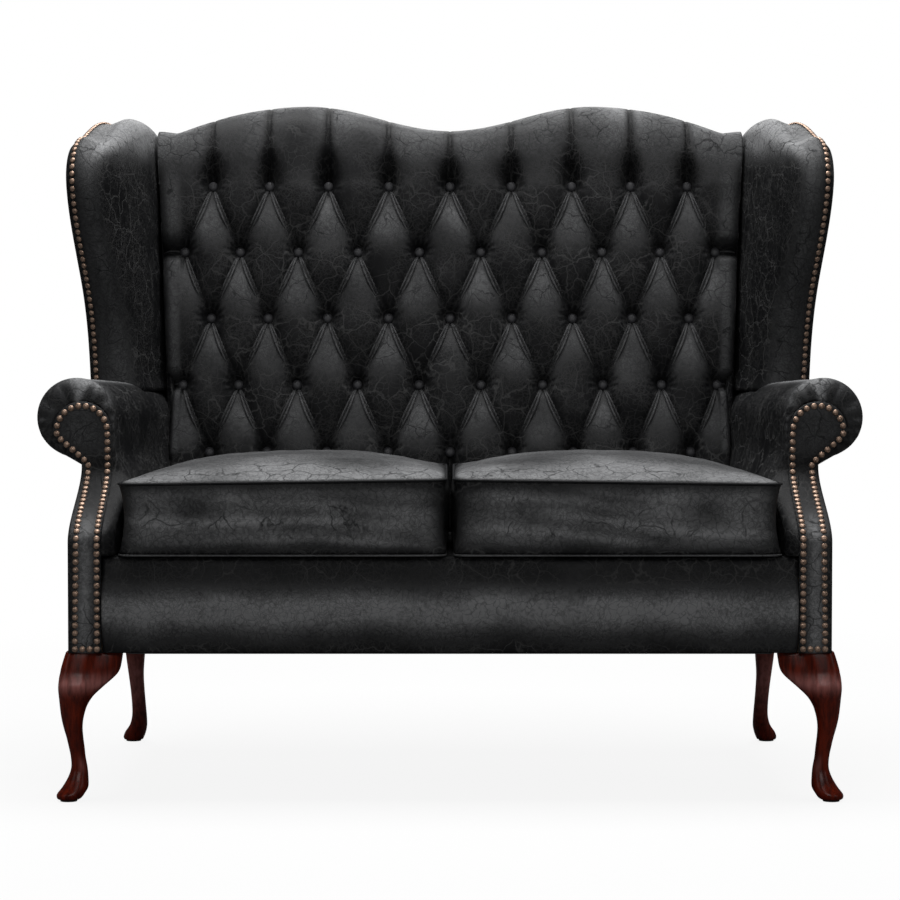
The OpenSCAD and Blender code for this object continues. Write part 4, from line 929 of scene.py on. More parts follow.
def arm_painted_light(rings):
    """A painted highlight along the top of the roll, round the scroll's edge and on the ridges of its gathers."""
    x, _, z = np.moveaxis(rings, -1, 0)
    i, ring = np.arange(x.shape[1]), np.arange(len(x))[:, None]
    a = np.zeros(len(i))
    a[INNER_POINTS:INNER_POINTS + len(ROLL_TURN)] = ROLL_TURN
    top = (1.15 * bell(a, 100, 10) + 0.10 * bell(a, 10, 40)) * (i >= INNER_POINTS)
    rim = 0.9 * bell(ring, 12, 3.0) * bell(a, 108, 36) * (a > 0)
    ridges = 0.30 * bell(ring, 8, 4.0) * smooth((z - 525) / 30) * clamp(gathers(x, z)) ** 2
    strip = 0.03 * bell(i, 12, 8.0) * bell(ring, 9, 4.0)
    return clamp(top + strip + ridges + rim)


def facing_grids():
    z = np.concatenate([np.linspace(BASE_Z, FACE_Z, 110),
                        FACE_Z + FACE_R * np.sin(np.radians(np.linspace(3, 88, 26)))])[:, None]
    left, right = facing_bounds(z)
    x = lerp(left, right, (1 - np.cos(np.linspace(0, np.pi, 26))) / 2)
    d = np.minimum(x - left, right - x)
    d = np.where(z > FACE_Z, np.minimum(FACE_R - np.hypot(x - FACE_X, z - FACE_Z), d), d)
    d = np.minimum(d, z - BASE_Z)
    swell = edge_swell(d, 4.5, 3.4) + 1.6 * smooth((d - 8) / 14) + 0.5 * ripple(x, z, 31, 60) * smooth(d / 10)
    return joined(x, front_line(z) + 3.4 - swell, z), joined(x, front_line(z) + FACE_T, z)


def facing_painted_sheen(face):
    """A painted sheen down the middle of the straight part, and softly on the scroll."""
    u, z = ramp(face.shape[1]) - 0.5, face[..., 2]
    strip = 0.8625 * bell(u, 0, 0.16) * (1 - smooth((z - 400) / 60))
    return strip + 0.22 * bell(u, 0, 0.35) * smooth((z - 520) / 40) + 0.01


def outside_arm_grids():
    s = np.concatenate([ramp(60), [1.004, 1.02, 1.04, 1.06, 1.08, 1.1]])
    v = ramp(50)[:, None]
    z = lerp(BASE_Z, np.where(s <= 1, 510 - ARM_FALL * s, WING_Z - FIT), v)
    post = lerp(post_front_y(z), rear_y(z), clamp((s - 1) / 0.1))
    y = np.where(s <= 1, arm_y(z, s), post)
    d = np.minimum(y - y.min(1, keepdims=True), y.max(1, keepdims=True) - y)
    d = np.minimum(d, inward(v) * 280)
    x = side_x(y) - 3.0 + edge_swell(d, 9, 3.6) + 0.5 * ripple(y, z, 41, 150) * smooth(d / 20)
    return joined(x, y, z), joined(side_x(y) - PANEL_T, y, z)


# ---------------------------------------------------------------- outside back, corner pads and lining

def outside_back_grids():
    u, v = np.linspace(-1, 1, 131), ramp(70)[:, None]
    h = v * (crest_h(u * 560) - 20)
    lean, most = (WING_LEAN * (up * COS + BASE_Z - WING_Z) for up in (h, 825))
    x = u * (POST_X + np.clip(lean, 0, most))
    d = np.minimum((1 - np.abs(u)) * 560, inward(v) * 840)
    w = 1.0 + edge_swell(d, 10, 3.0) + 0.8 * smooth(d / 160) + 0.6 * ripple(x, h, 51, 240)
    return raked(x, w, h), raked(x, 0.0, h)


def corner_rings():
    """The padding behind the wing's rear top corner, rounded over toward the crest."""
    x1, x2, t = CREST_W + FIT, 577.0, ramp(16)
    top = lerp(crest_h(CREST_W) - 6, (WING_TOP - BASE_Z) / COS, smooth(t / 0.75))
    top = top - 34 * clamp((t - 0.6) / 0.4) ** 2.2
    outline = np.vstack([joined(lerp(x2, x1, t), 825.2), joined(lerp(x1, x2, t), top)])
    mid = outline.mean(0)
    size = np.linalg.norm(outline - mid, axis=1, keepdims=True)
    rings = []
    for w, d in ((-44.6, 3), (-42, 1), (-36, 0), (-22, -1.0), (-9, 0), (-3, 1), (-0.4, 3)):
        x, h = (mid + (outline - mid) * (size - d) / size).T
        rings.append(raked(x, w, h))
    return np.asarray(rings)


def lining_sheet():
    """The lining under the seat, sagging a little between the rails."""
    points = mesh_points(NODES["dust_cover"].data)
    low, high = points.min(0), points.max(0)
    ends = [points[np.abs(points[:, 1] - y) < 1][:, 0].max() for y in (low[1], high[1])]
    u, v = np.linspace(-1, 1, 70), ramp(40)[:, None]
    x, y = u * lerp(*ends, v), lerp(low[1], high[1], v)
    sag = 2.5 * (1 - u ** 2) * arch(v)
    return plate("seat_lining", joined(x, y, high[2]), joined(x, y, low[2] - sag), finish("lining"))


# ---------------------------------------------------------------- cushions

def cushion_outer(y):
    return 516 - 42 * (y - CUSHION_Y1) / CUSHION_D


CUSHION_MID = np.array([(CUSHION_X1 + cushion_outer(CUSHION_Y1 + CUSHION_D / 2)) / 2, CUSHION_Y1 + CUSHION_D / 2])


def cushion_plan():
    """Rounded outline of the right cushion, counterclockwise from its front inner corner."""
    y1, y2, x1, c = CUSHION_Y1, CUSHION_Y1 + CUSHION_D, CUSHION_X1, CORNER
    arcs = []
    for x, y, start in ((x1 + c, y1 + c, 180), (cushion_outer(y1) - c, y1 + c, 270),
                        (cushion_outer(y2) - c, y2 - c, 0), (x1 + c, y2 - c, 90)):
        a = np.radians(np.linspace(start, start + 90, 9))
        arcs.append(joined(x + c * np.cos(a), y + c * np.sin(a)))
    out = []
    for arc, following in zip(arcs, arcs[1:] + arcs[:1]):
        out += [arc, lerp(arc[-1], following[0], ramp(34)[1:-1, None])]
    return np.vstack(out)


def cushion_half(plan):
    """Half the cushion's width and half its depth beside each point of the outline."""
    return joined(np.abs(cushion_outer(plan[:, 1]) - CUSHION_MID[0]), CUSHION_D / 2)


def cushion_ring(plan, d, z):
    half = cushion_half(plan)
    return joined(*(CUSHION_MID + (plan - CUSHION_MID) * (half - d) / half).T, z)


def seat_rise(x):
    """A cushion is a little higher where it meets the other one."""
    return 7.0 * clamp(1 - np.abs(x) / 516)


def cushion_base(shrink):
    """The cushion's cover before it is filled, a little slack by shrink."""
    plan, p = cushion_plan(), PIPING_R
    rings = [cushion_ring(plan, d, SEAT_LOW) for d in (120, 60, 24, 9)]
    rings.append(cushion_ring(plan, p, SEAT_LOW + p))
    for t in ramp(14)[1:-1]:
        rings.append(cushion_ring(plan, p + (2 + shrink) * arch(t) ** 0.8, lerp(SEAT_LOW + p, SEAT_HIGH - p, t)))
    rings.append(cushion_ring(plan, p, SEAT_HIGH - p))
    for share in (0.975, 0.94, 0.89, 0.82, 0.73, 0.62, 0.5, 0.36, 0.2):
        v = (plan - CUSHION_MID) * share
        u, w = (np.abs(v) / cushion_half(plan)).T
        dome = (CROWN - shrink) * (1 - u ** 2.8) * (1 - w ** 2.8)
        rings.append(joined(*(CUSHION_MID + v).T, SEAT_HIGH - p * clamp((share - 0.94) / 0.05) + dome))
    return np.asarray(rings)


def blown_up(piece, rest, side):
    """The points of the slack cover after it is blown up as cloth, held at its seams and under the seat."""
    steps, furthest = 20, 11.0
    plan = sided(np.c_[cushion_plan(), np.zeros(len(cushion_plan()))], side)[:, :2]
    seam = np.minimum(np.abs(rest[:, 2] - SEAT_LOW - PIPING_R), np.abs(rest[:, 2] - SEAT_HIGH + PIPING_R))
    held = ((seam < 7) & (outline_distance(rest[:, :2], plan) < 9)) | (rest[:, 2] < SEAT_LOW + 2)
    group = piece.vertex_groups.new(name="seams")
    group.add(np.nonzero(held)[0].tolist(), 1.0, "REPLACE")
    cloth = piece.modifiers.new("cover", "CLOTH")
    for key, value in {"use_pressure": True, "uniform_pressure_force": 4.0, "vertex_group_mass": "seams",
                       "quality": 5, "tension_stiffness": 12, "compression_stiffness": 12,
                       "bending_stiffness": 2.0}.items():
        setattr(cloth.settings, key, value)
    cloth.settings.effector_weights.gravity = 0.0
    cloth.point_cache.frame_start = 1
    cloth.point_cache.frame_end = steps
    for step in range(1, steps + 1):
        bpy.context.scene.frame_set(step)
    way = mesh_points(piece.evaluated_get(bpy.context.evaluated_depsgraph_get()).data) - rest
    piece.modifiers.remove(cloth)
    piece.vertex_groups.clear()
    bpy.context.scene.frame_set(1)
    size = np.linalg.norm(way, axis=1, keepdims=True)
    return rest + way * np.minimum(1, furthest / np.maximum(size, 1e-6))


def filled_cushion(name, side, seed):
    """A loose cushion: the slack cover is blown up as cloth, and then creased where it is sat on."""
    piece = skin(name, sided(cushion_base(5.0), side), finish("seat_leather"))
    remesh = piece.modifiers.new("even", "REMESH")
    remesh.mode = "VOXEL"
    remesh.voxel_size = 0.0055
    remesh.use_smooth_shade = True
    cover = piece.data
    mesh = evaluated_mesh(piece)
    piece.modifiers.clear()
    piece.data = mesh
    bpy.data.meshes.remove(cover)
    rest = mesh_points(mesh)
    rest = blown_up(piece, rest, side)
    mesh.vertices.foreach_set("co", (creased(rest, side, seed) / 1000).astype(np.float32).ravel())
    mesh.update()
    return piece


def outline_distance(p, outline):
    """Distance of each point from a closed outline in plan."""
    best = np.full(len(p), 1e9)
    for a, b in zip(outline, np.roll(outline, -1, axis=0)):
        d = b - a
        t = clamp(((p - a) @ d) / max(d @ d, 1e-9))
        best = np.minimum(best, np.hypot(*(p - (a + t[:, None] * d)).T))
    return best


def streaks(x, up, seed):
    """Depth of the long soft creases across a cushion's front, up from its middle height, and the painted highlight
    just below each one.
    """
    depth, painted_crease_highlight = 0.0, 0.0
    slant = up + (0.09 if seed == 2 else -0.02) * (x - 250) + 4 * np.sin(x / 60 + seed)
    for height, deep, centre, reach, width in ((-24, 3.4, 170, 190, 8), (4, 4.0, 300, 210, 9), (24, 2.6, 130, 150, 7)):
        across = np.exp(-((x - centre - 20 * seed) / reach) ** 4)
        depth = depth + deep * bell(slant, height, width) * across
        painted_crease_highlight = painted_crease_highlight + 0.32 * bell(slant, height - 1.1 * width, 0.8 * width) * across
    return depth, painted_crease_highlight


def cushion_painted_light(p, side):
    """Painted light on a cushion: a painted highlight on top, soft painted highlights on the front, and painted shade
    along every seam.
    """
    x, y, z = sided(p, side).T
    u = np.abs(x - 259) / 257
    painted_light_and_wear_value = lerp(1.15, 0.42, smooth((y + 398) / 130)) * smooth((1 - u) * 16)
    level = clamp(1 - np.abs(z - SEAT_MID - 2) / (CUSHION_H / 2))
    _, painted_crease_highlight = streaks(x, z - SEAT_MID, 1 if side < 0 else 2)
    front = smooth(level * 2.0) * smooth((1 - u) * 6) * (0.52 + 0.16 * ripple(x, z * 2.2, 33, 110) + painted_crease_highlight)
    top = smooth((z - SEAT_HIGH - seat_rise(x) + 3) / 5)
    return lerp(front, painted_light_and_wear_value * (0.9 + 0.25 * ripple(x, y, 34, 140)), top)


def creased(p, side, seed):
    """Soft creases across the cushion's front and gathers beside its seams."""
    x, y, z = sided(p, side).T.copy()
    mid = clamp(1 - np.abs(z - SEAT_MID) / (CUSHION_H / 2))
    front = clamp((CUSHION_Y1 + 30 - y) / 26) * smooth(mid * 2.2)
    fold, _ = streaks(x, z - SEAT_MID, seed)
    # short gathers run in from the seams at the corners
    corner = (bell(x, 20, 45) + bell(x, 500, 45)) * 1.2 * np.sin(z / 5.0)
    y += front * (fold + 0.9 * ripple(x, z * 2, 60 + seed, 90) + corner)
    uneven = 0.9 * ripple(x, p[:, 1], 70 + seed, 130) + 0.5 * ripple(x, p[:, 1], 80 + seed, 50)
    rise = smooth((z - SEAT_HIGH) / 12) * uneven + seat_rise(x) * clamp((z - SEAT_LOW) / CUSHION_H)
    return sided(joined(x - 1.2 * (1 - smooth((x - 3) / 40)), y, z + rise), side)


# ---------------------------------------------------------------- border and seat

def border_grids():
    """Padded front border, from the bottom edge over the rounded lip to the seat."""
    half = FACE_IN - FIT
    depth, z = spline([(9.0, BASE_Z), (5.0, 241), (0.8, 260), (-2.4, 285), (-2.8, 305), (-0.4, 328), (4.4, LIP_Z),
                       (9.0, 361), (12.0, 371), (17.0, 378), (25.0, DECK_Z), (LIP_D, DECK_Z)], 48).T
    x = np.linspace(-half, half, 181)[:, None]
    lower = smooth((364 - z) / 40)
    y = -FRONT + depth - 0.9 * ripple(x, z * 1.5, 91, 170) * lower * smooth((z - BASE_Z) / 15)
    y = y - (edge_swell(half - np.abs(x), 6, 2.0) - 2.0) * lower
    back_y = np.maximum(-FRONT + np.where(z < LIP_Z, 22, LIP_D), y + 0.2)
    back_z = np.where(z < LIP_Z, z, np.clip(z, DECK_LOW, DECK_Z - 0.1))
    return joined(x, y, z), joined(x, back_y, back_z)


def deck_grids():
    y1, y2 = -FRONT + LIP_D + FIT, post_front_y(DECK_LOW) - FIT
    u, v = np.linspace(-1, 1, 60), ramp(40)[:, None]
    y = lerp(y1, y2, v)
    half = side_x(y) - PANEL_T - RAIL_T - FIT
    d = np.minimum((1 - np.abs(u)) * half, inward(v) * (y2 - y1))
    return joined(u * half, y, DECK_Z - 5 + edge_swell(d, 8, 5)), joined(u * half, y, DECK_LOW + 0.2)


# ---------------------------------------------------------------- legs

# height, shift to the front corner, thickness, ear, and 2 for a round to 6 for a square section
FRONT_LEG = [
    (1, -0.19, 1, 1, 4), (0.965, -0.04, 1.02, 1.03, 3.8), (0.9, 0.2, 1.06, 1.05, 3.4), (0.862, 0.28, 1.1, 0.98, 3.2),
    (0.827, 0.34, 1.15, 0.82, 3.1),
    (0.76, 0.41, 1.15, 0.43, 2.9), (0.695, 0.41, 1.1, 0.08, 2.7), (0.624, 0.56, 0.76, 0, 2.5),
    (0.553, 0.63, 0.48, 0, 2.3), (0.487, 0.58, 0.27, 0, 2.2), (0.42, 0.43, 0.13, 0, 2.1), (0.35, 0.27, 0.06, 0, 2),
    (0.283, 0.14, 0, 0, 2), (0.21, 0.04, 0.1, 0, 2), (0.146, 0.14, 0.36, 0, 2), (0.08, 0.41, 0.74, 0, 2),
    (0.035, 0.82, 0.84, 0, 2), (0.01, 0.96, 0.66, 0, 2), (0, 1, 0.4, 0, 2)]
# height, sweep to the rear, place outward, thickness and section
REAR_LEG = [
    (1, 0, 0, 1, 6), (0.86, 0.03, 0.1, 0.78, 5), (0.7, 0.13, 0.18, 0.45, 4), (0.55, 0.27, 0.2, 0.12, 3.4),
    (0.42, 0.42, 0.14, 0, 3), (0.3, 0.58, 0.1, 0, 2.6), (0.2, 0.74, 0.14, 0.1, 2.3), (0.12, 0.88, 0.34, 0.36, 2),
    (0.06, 0.97, 0.74, 0.7, 2), (0.02, 1, 0.97, 0.7, 2), (0, 1, 1, 0.5, 2)]


def turn_of(count):
    a = np.linspace(0, 2 * np.pi, count + 1)[:-1]
    return np.cos(a), np.sin(a)


def section_radius(half, square, c, d):
    square = max(2.0, square)
    return half / (np.abs(c) ** square + np.abs(d) ** square) ** (1 / square)


def front_leg_rings():
    """The rings of a cabriole leg, and its painted highlight: over the knee and beside the ankle."""
    rings, painted_lights = [], []
    c, d = turn_of(72)
    for h, shift, half, ear, square in spline(FRONT_LEG, 110):
        ears = EAR * max(0.0, ear) * (np.maximum(0, -c) ** 14 + np.maximum(0, d) ** 14)
        r = section_radius(lerp(11.5, 23.0, half), square, c, d) + ears
        # the knee swells forward over the curve of the ear
        knee = 5.0 * bell(h, 0.765, 0.062) * smooth((0.35 - d) / 0.9)
        # a painted highlight on the polish over the knee, and one beside the ankle
        ankle = 0.45 * bell(h, 0.23, 0.05) * bell(c, -0.45, 0.35) * (d < 0)
        painted_lights.append(0.8 * bell(h, 0.79, 0.055) * smooth((0.35 - d) / 0.5) + ankle)
        rings.append(joined(LEG_X + 16 * shift + r * c, LEG_Y - 11.2 * shift + r * d - knee, GLIDE_H + LEG_H * h))
    return np.asarray(rings), painted_lights


def rear_leg_rings():
    """The rings of a swept rear leg, with a painted highlight down the middle of its front."""
    rings, painted_lights = [], []
    c, d = turn_of(60)
    for h, sweep, out, half, square in spline(REAR_LEG, 90):
        r = section_radius(lerp(12.0, 21.0, half), square, c, d)
        # a painted highlight down the middle of the front
        painted_lights.append(0.9 * bell(h, 0.5, 0.22) * smooth((0.2 - d) / 0.8))
        rings.append(joined(REAR_LEG_X + 15 * out + r * c, REAR_LEG_Y + 92 * sweep + r * d, GLIDE_H + LEG_H * h))
    return np.asarray(rings), painted_lights


# ---------------------------------------------------------------- nails

def arm_nail_spots():
    """Up the facing's inner edge, round the scroll, down the outer edge and along the foot."""
    m = NAIL_MARGIN
    low, r, x1 = BASE_Z + m, FACE_R - m, FACE_IN + m
    x2, x3 = (side_x(y) - m - PANEL_T for y in (SCROLL_Y, -FRONT))
    a, t = np.radians(np.arange(180, -13, -12)), ramp(15)
    x, z = np.vstack([joined(x1, lerp(low, FACE_Z - m, t)), joined(FACE_X + r * np.cos(a), FACE_Z + r * np.sin(a)),
                      joined(lerp(x2, x3, t), lerp(TURN_Z, low, t))]).T
    foot = walk(joined([x1, x3], front_line(low), low), NAIL_PITCH)[1:-1]
    spots = np.vstack([walk(joined(x, front_line(z), z), NAIL_PITCH), foot])
    z = spots[:, 2]
    ways = unit(joined(0.0, -1.0, (front_line(z + 1) - front_line(z - 1)) / 2))
    spots[:, 1] = front_line(z)
    return spots + ways * NAIL_LIFT, ways


def wing_nail_spots():
    """Along the wing's outer corner, tilted outward."""
    edge, way, _ = wing_edge(400)
    p = wing_inset(edge, way, 4.7)
    spots = walk(shouldered(joined(wing_out(*p.T) - 12.8, *p.T)), NAIL_PITCH)
    run = np.gradient(spots, axis=0)[1:-1]
    tilt = math.radians(26)
    ways = unit(joined(0.0, -run[:, 2], run[:, 1])) * math.cos(tilt) + np.array([math.sin(tilt), 0, 0])
    return spots[1:-1] + ways * NAIL_LIFT, ways


# ---------------------------------------------------------------- operators

class SetteeLooks(bpy.types.PropertyGroup):
    """Sizes and colours that a user would change."""
    tuft_depth: bpy.props.FloatProperty(name="Tuft depth", description="Fullness of each diamond over its buttons",
                                        default=0.027, min=0.0, max=0.05, unit="LENGTH")
    button_size: bpy.props.FloatProperty(name="Button radius", description="Radius of each covered button",
                                         default=0.0092, min=0.005, max=0.02, unit="LENGTH")
    fold_size: bpy.props.FloatProperty(name="Fold radius", description="Half the width of each fold between buttons",
                                       default=0.0022, min=0.0005, max=0.006, unit="LENGTH")
    nail_size: bpy.props.FloatProperty(name="Nail radius", description="Radius of each dome nail",
                                       default=0.0054, min=0.003, max=0.01, unit="LENGTH")
    crackle: bpy.props.FloatProperty(name="Crackle", description="How much of the leather is cracked",
                                     default=0.8, min=0.0, max=1.0, subtype="FACTOR")
    leather: bpy.props.FloatVectorProperty(name="Leather", description="Colour of the leather", size=3,
                                           default=(0.0050, 0.0052, 0.0058), min=0, max=1, subtype="COLOR")
    # the paler colour of the painted highlights and of the wear on the leather
    painted_light_and_worn: bpy.props.FloatVectorProperty(name="Rubbed leather", description="Colour where the leather is rubbed",
                                          size=3, default=(0.190, 0.192, 0.196), min=0, max=1, subtype="COLOR")
    crack: bpy.props.FloatVectorProperty(name="Crack", description="Colour in the cracks of the leather", size=3,
                                         default=(0.058, 0.058, 0.058), min=0, max=1, subtype="COLOR")
    mahogany: bpy.props.FloatVectorProperty(name="Mahogany", description="Colour of the polished legs", size=3,
                                            default=(0.140, 0.0110, 0.0012), min=0, max=1, subtype="COLOR")
    brass: bpy.props.FloatVectorProperty(name="Brass", description="Colour of the dome nails", size=3,
                                         default=(0.46, 0.32, 0.24), min=0, max=1, subtype="COLOR")


class SETTEE_OT_frame(bpy.types.Operator):
    """Gives the timber frame, the webbing and the glides their finishes"""
    bl_idname = "settee.frame"
    bl_label = "Frame finishes"

    def execute(self, context):
        looks = {"beech": ("rail", "post", "brace", "blocks", "board", "stile"), "jute": ("webbing",),
                 "glide_felt": ("glides",)}
        for name, part in NODES.items():
            for look, words in looks.items():
                if any(word in name for word in words):
                    if not part.material_slots:
                        part.data.materials.append(finish(look))
                    for slot in part.material_slots:
                        slot.material = finish(look)
        return {"FINISHED"}


class SETTEE_OT_back(bpy.types.Operator):
    """Makes the deep-buttoned back and the folds between its buttons"""
    bl_idname = "settee.back"
    bl_label = "Buttoned back"

    def execute(self, context):
        looks = context.scene.settee_looks
        depth = looks.tuft_depth * 1000
        rings, painted_light_and_wear = back_rings(depth)
        settle(skin("buttoned_back", rings, finish("leather"), painted_light_and_wear), "back_pad", fill=0.8)
        folds = cords("back_folds", *fold_lines(depth), cord_tree(),
                      {"Radius": looks.fold_size, "Sides": 8, "Finish": finish("leather")})
        # the folds are a little paler, a painted highlight along their ridges
        set_painted_light_and_wear(folds.data, 0.24)
        settle(folds)
        return {"FINISHED"}


class SETTEE_OT_buttons(bpy.types.Operator):
    """Makes the covered buttons of the back"""
    bl_idname = "settee.buttons"
    bl_label = "Covered buttons"

    def execute(self, context):
        look = finish("button_leather")
        shape = turned_shape("button_shape", [(0.5, -0.35), (0.86, -0.18), (1, 0.05), (0.97, 0.24), (0.84, 0.42),
                                              (0.6, 0.55), (0.3, 0.63)], 20, look)
        buttons = repeated("covered_buttons", *button_spots(), repeat_tree(),
                           {"Shape": shape, "Size": context.scene.settee_looks.button_size, "Uneven": 0.05,
                            "Seed": 4, "Finish": look})
        bpy.data.objects.remove(shape)
        settle(buttons, "back_buttons", slot="button_leather")
        return {"FINISHED"}


class SETTEE_OT_wings(bpy.types.Operator):
    """Makes the padded wings and their outside panels"""
    bl_idname = "settee.wings"
    bl_label = "Wings"

    def execute(self, context):
        rings, panel = wing_rings(), outside_wing_grids()
        settle_pair(skin, "padded_wing", "wing_pad", [rings], wing_painted_light(rings), fill=0.8)
        settle_pair(plate, "wing_panel", "outside_wing", panel, panel_rub(panel[0]))
        return {"FINISHED"}


class SETTEE_OT_arms(bpy.types.Operator):
    """Makes the scroll arms, their facings and their outside panels"""
    bl_idname = "settee.arms"
    bl_label = "Scroll arms"

    def execute(self, context):
        rings, face, panel = arm_rings(), facing_grids(), outside_arm_grids()
        settle_pair(skin, "scroll_arm", "arm_pad", [rings], arm_painted_light(rings), fill=0.8)
        settle_pair(plate, "scroll_face", "facing", face, facing_painted_sheen(face[0]))
        settle_pair(plate, "arm_panel", "outside_arm", panel, panel_rub(panel[0]))
        return {"FINISHED"}


class SETTEE_OT_nails(bpy.types.Operator):
    """Makes the rows of dome nails on the arms and the wings"""
    bl_idname = "settee.nails"
    bl_label = "Dome nails"

    def execute(self, context):
        look, tree = finish("old_brass"), repeat_tree()
        shape = turned_shape("nail_shape", [(0.55, -0.25), (0.97, -0.02), (0.9, 0.22), (0.66, 0.43), (0.34, 0.56)],
                             12, look)
        for kind, (spots, ways) in (("arm", arm_nail_spots()), ("wing", wing_nail_spots())):
            for side, word in SIDES:
                name = word + "_" + kind + "_nails"
                nails = repeated(name + "_row", sided(spots, side), sided(ways, side), tree,
                                 {"Shape": shape, "Size": context.scene.settee_looks.nail_size, "Uneven": 0.06,
                                  "Seed": 7 + side, "Finish": look})
                settle(nails, name, slot="aged_brass")
        bpy.data.objects.remove(shape)
        return {"FINISHED"}


class SETTEE_OT_border(bpy.types.Operator):
    """Makes the front border and the seat deck under the cushions"""
    bl_idname = "settee.border"
    bl_label = "Front border"

    def execute(self, context):
        face, back = border_grids()
        z = face[..., 2]
        # a painted highlight across the middle of the border's belly, and a faint one lower down
        painted_light_and_wear = (1.25 * bell(z, 297, 25) + 0.10 * bell(z, 255, 20)) * (0.9 + 0.2 * ripple(face[..., 0], z, 18, 120))
        settle(plate("padded_border", face, back, finish("border_leather"), painted_light_and_wear), "front_border", fill=0.7)
        settle(plate("leather_deck", *deck_grids(), finish("seat_leather")), "seat_deck", fill=0.6)
        return {"FINISHED"}


class SETTEE_OT_cushions(bpy.types.Operator):
    """Makes the two loose seat cushions with their piping"""
    bl_idname = "settee.cushions"
    bl_label = "Seat cushions"

    def execute(self, context):
        low, high = (cushion_ring(cushion_plan(), PIPING_R, z) for z in (SEAT_LOW + 0.9, SEAT_HIGH - PIPING_R))
        high[:, 2] += seat_rise(high[:, 0])
        tree = cord_tree()
        for side, word in SIDES:
            pad = filled_cushion(word + "_seat_cushion", side, seed=1 if side < 0 else 2)
            set_painted_light_and_wear(pad.data, cushion_painted_light(mesh_points(pad.data), side))
            pipe = cords(word + "_piping", [sided(low, side), sided(high, side)], [0.45, 0.58], tree,
                         {"Radius": PIPING_R / 1000, "Sides": 12, "Finish": finish("piping_leather_painted_highlight")}, closed=True)
            # the lower piping gets a painted highlight, the upper one next to none
            set_painted_light_and_wear(pipe.data, np.where(mesh_points(pipe.data)[:, 2] < SEAT_LOW + 20, 0.30, 0.04))
            settle(pad, word + "_cushion", body=word + "_seat", fill=0.85)
            settle(pipe, body=word + "_seat")
        return {"FINISHED"}


class SETTEE_OT_rear(bpy.types.Operator):
    """Makes the outside back, its corner pads and the lining under the seat"""
    bl_idname = "settee.rear"
    bl_label = "Outside back"

    def execute(self, context):
        face, back = outside_back_grids()
        settle(plate("back_panel", face, back, finish("leather"), panel_rub(face)), "outside_back")
        settle_pair(skin, "wing_corner", "corner_pad", [corner_rings()], 0.4, fill=0.7)
        lining = lining_sheet()
        settle(lining, "dust_cover", slot="dust_cloth")
        return {"FINISHED"}


class SETTEE_OT_legs(bpy.types.Operator):
    """Makes the cabriole front legs and the swept rear legs"""
    bl_idname = "settee.legs"
    bl_label = "Legs"

    def execute(self, context):
        for kind, (rings, painted_light_and_wear) in (("front", front_leg_rings()), ("rear", rear_leg_rings())):
            settle_pair(skin, kind + "_turned_leg", kind + "_leg", [rings], painted_light_and_wear, "mahogany", slot="polished_legs")
        return {"FINISHED"}


CAMERA_LENS, CAMERA_PLACE, CAMERA_TILT = 118.3, (0, -4.94, 0.73736), 2.424
FLOOR_HALF, WHITE = 30.0, (1, 1, 1, 1)


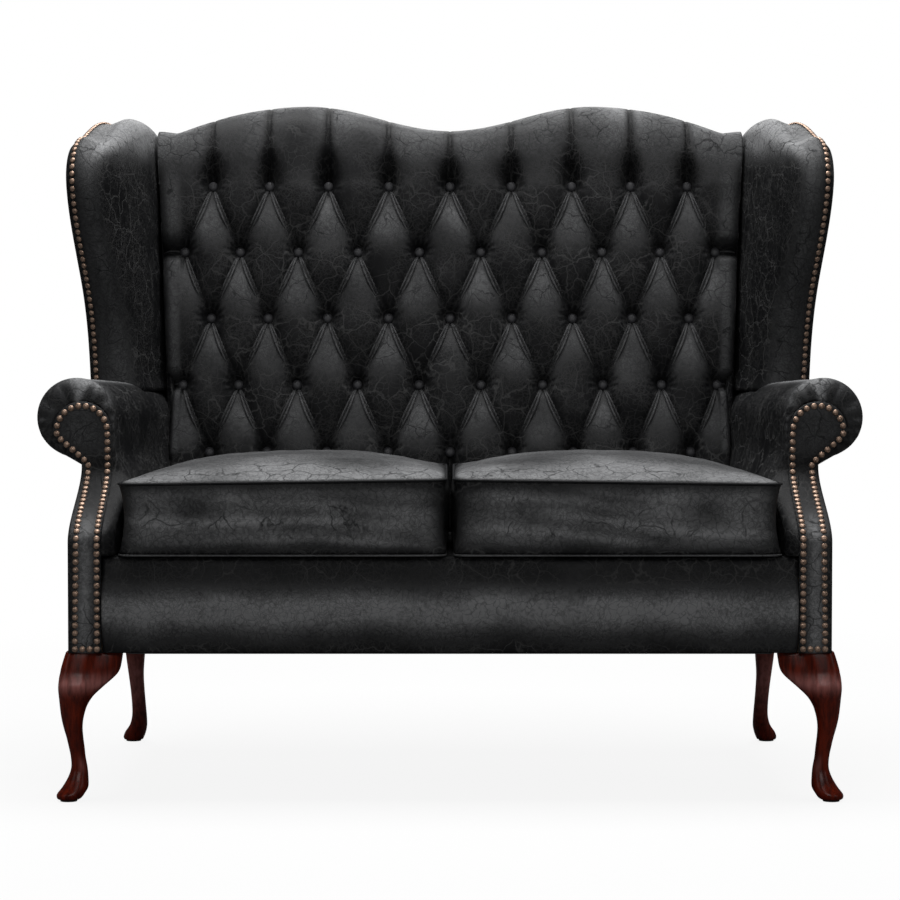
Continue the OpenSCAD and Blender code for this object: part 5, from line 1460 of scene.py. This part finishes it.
class SETTEE_OT_stage(bpy.types.Operator):
    """Sets the floor, the studio light and the camera"""
    bl_idname = "settee.stage"
    bl_label = "Stage"

    def execute(self, context):
        scene = context.scene
        scene.view_settings.view_transform = "Standard"
        camera = bpy.data.cameras.new("camera")
        camera.sensor_width, camera.lens = 36, CAMERA_LENS
        scene.camera = placed("camera", camera)
        scene.camera.location = CAMERA_PLACE
        scene.camera.rotation_euler = (math.radians(90 - CAMERA_TILT), 0, 0)
        self.floor()
        self.sky(scene)
        for name, (x, y, z), target_z, size, power in (
            ("overhead_lamp", (0.0, 0.1, 3.0), 0.6, (2.8, 1.6), 110),
            ("left_lamp", (-2.9, -2.2, 1.9), 0.6, (1.2, 1.8), 7),
            ("right_lamp", (2.9, -2.2, 1.9), 0.6, (1.2, 1.8), 7),
            ("front_lamp", (0.0, -4.2, 2.3), 0.5, (2.6, 1.2), 36),
            ("rear_lamp", (0.0, 3.2, 2.6), 0.6, (2.6, 1.4), 32),
        ):
            lamp = bpy.data.lights.new(name, "AREA")
            lamp.shape = "RECTANGLE"
            lamp.size, lamp.size_y = size
            lamp.energy = power
            holder = placed(name, lamp)
            holder.location = (x, y, z)
            holder.rotation_euler = (math.pi / 2 + math.atan2(target_z - z, math.hypot(x, y)), 0,
                                     math.atan2(-y, -x) - math.pi / 2)
        return {"FINISHED"}

    def floor(self):
        material, tree, shader = material_start("pale_floor")
        size = FLOOR_HALF
        glow = node(tree, "ShaderNodeEmission", {"Color": WHITE, "Strength": 1.0})
        seen = node(tree, "ShaderNodeLightPath")["Is Camera Ray"]
        # the floor throws little light back on the piece
        shade = mix_colour(tree, seen, (0.15, 0.15, 0.15), (0.82, 0.82, 0.82))
        feed(tree, shader, {"Base Color": shade, "Roughness": 0.9, "Specular IOR Level": 0.1})
        # far from the piece the floor is as white as the sky, and beside it the floor keeps the shadow
        reach = vector_node(tree, "LENGTH", {0: own_place(tree)})["Value"]
        share = times(tree, seen, remap(tree, reach, 0.9, 2.6, 0.89, 1.0))
        matt = tree.nodes["Principled BSDF"].outputs[0]
        mix = node(tree, "ShaderNodeMixShader", {0: share, 1: matt, 2: glow[0]})
        tree.links.new(mix[0], tree.nodes["Material Output"].inputs["Surface"])
        mesh = bpy.data.meshes.new("floor")
        mesh.from_pydata([(-size, -size, 0), (size, -size, 0), (size, size, 0), (-size, size, 0)], [], [(0, 1, 2, 3)])
        mesh.materials.append(material)
        placed("floor", mesh)

    def sky(self, scene):
        scene.world = bpy.data.worlds.new("studio")
        scene.world.use_nodes = True
        tree = scene.world.node_tree
        rays = node(tree, "ShaderNodeLightPath")
        # the sky is white to the camera, and gives little light and next to no gloss
        strength = math_node(tree, "MAXIMUM", rays["Is Camera Ray"], rays["Is Transmission Ray"],
                             times(tree, rays["Is Glossy Ray"], 0.06), 0.10)
        feed(tree, tree.nodes["Background"].inputs, {"Color": WHITE, "Strength": strength})


class SETTEE_PT_panel(bpy.types.Panel):
    """Lists the settee's pieces and looks"""
    bl_idname = "SETTEE_PT_panel"
    bl_label = "Wing settee"
    bl_space_type = "VIEW_3D"
    bl_region_type = "UI"
    bl_category = "Settee"

    def draw(self, context):
        looks = context.scene.settee_looks
        for name in SetteeLooks.__annotations__:
            self.layout.prop(looks, name)
        for piece in OPERATORS:
            self.layout.operator(piece.bl_idname)


OPERATORS = (SETTEE_OT_stage, SETTEE_OT_frame, SETTEE_OT_legs, SETTEE_OT_border, SETTEE_OT_arms, SETTEE_OT_wings,
             SETTEE_OT_back, SETTEE_OT_buttons, SETTEE_OT_nails, SETTEE_OT_rear, SETTEE_OT_cushions)
CLASSES = (SetteeLooks,) + OPERATORS + (SETTEE_PT_panel,)


def register():
    for item in CLASSES:
        bpy.utils.register_class(item)
    bpy.types.Scene.settee_looks = bpy.props.PointerProperty(type=SetteeLooks)


def unregister():
    del bpy.types.Scene.settee_looks
    for item in reversed(CLASSES):
        bpy.utils.unregister_class(item)


def main():
    register()
    bpy.ops.settee.stage()
    bpy.ops.settee.frame()
    bpy.ops.settee.legs()
    bpy.ops.settee.border()
    bpy.ops.settee.arms()
    bpy.ops.settee.wings()
    bpy.ops.settee.back()
    bpy.ops.settee.buttons()
    bpy.ops.settee.nails()
    bpy.ops.settee.rear()
    bpy.ops.settee.cushions()


if __name__ == "__main__":
    main()
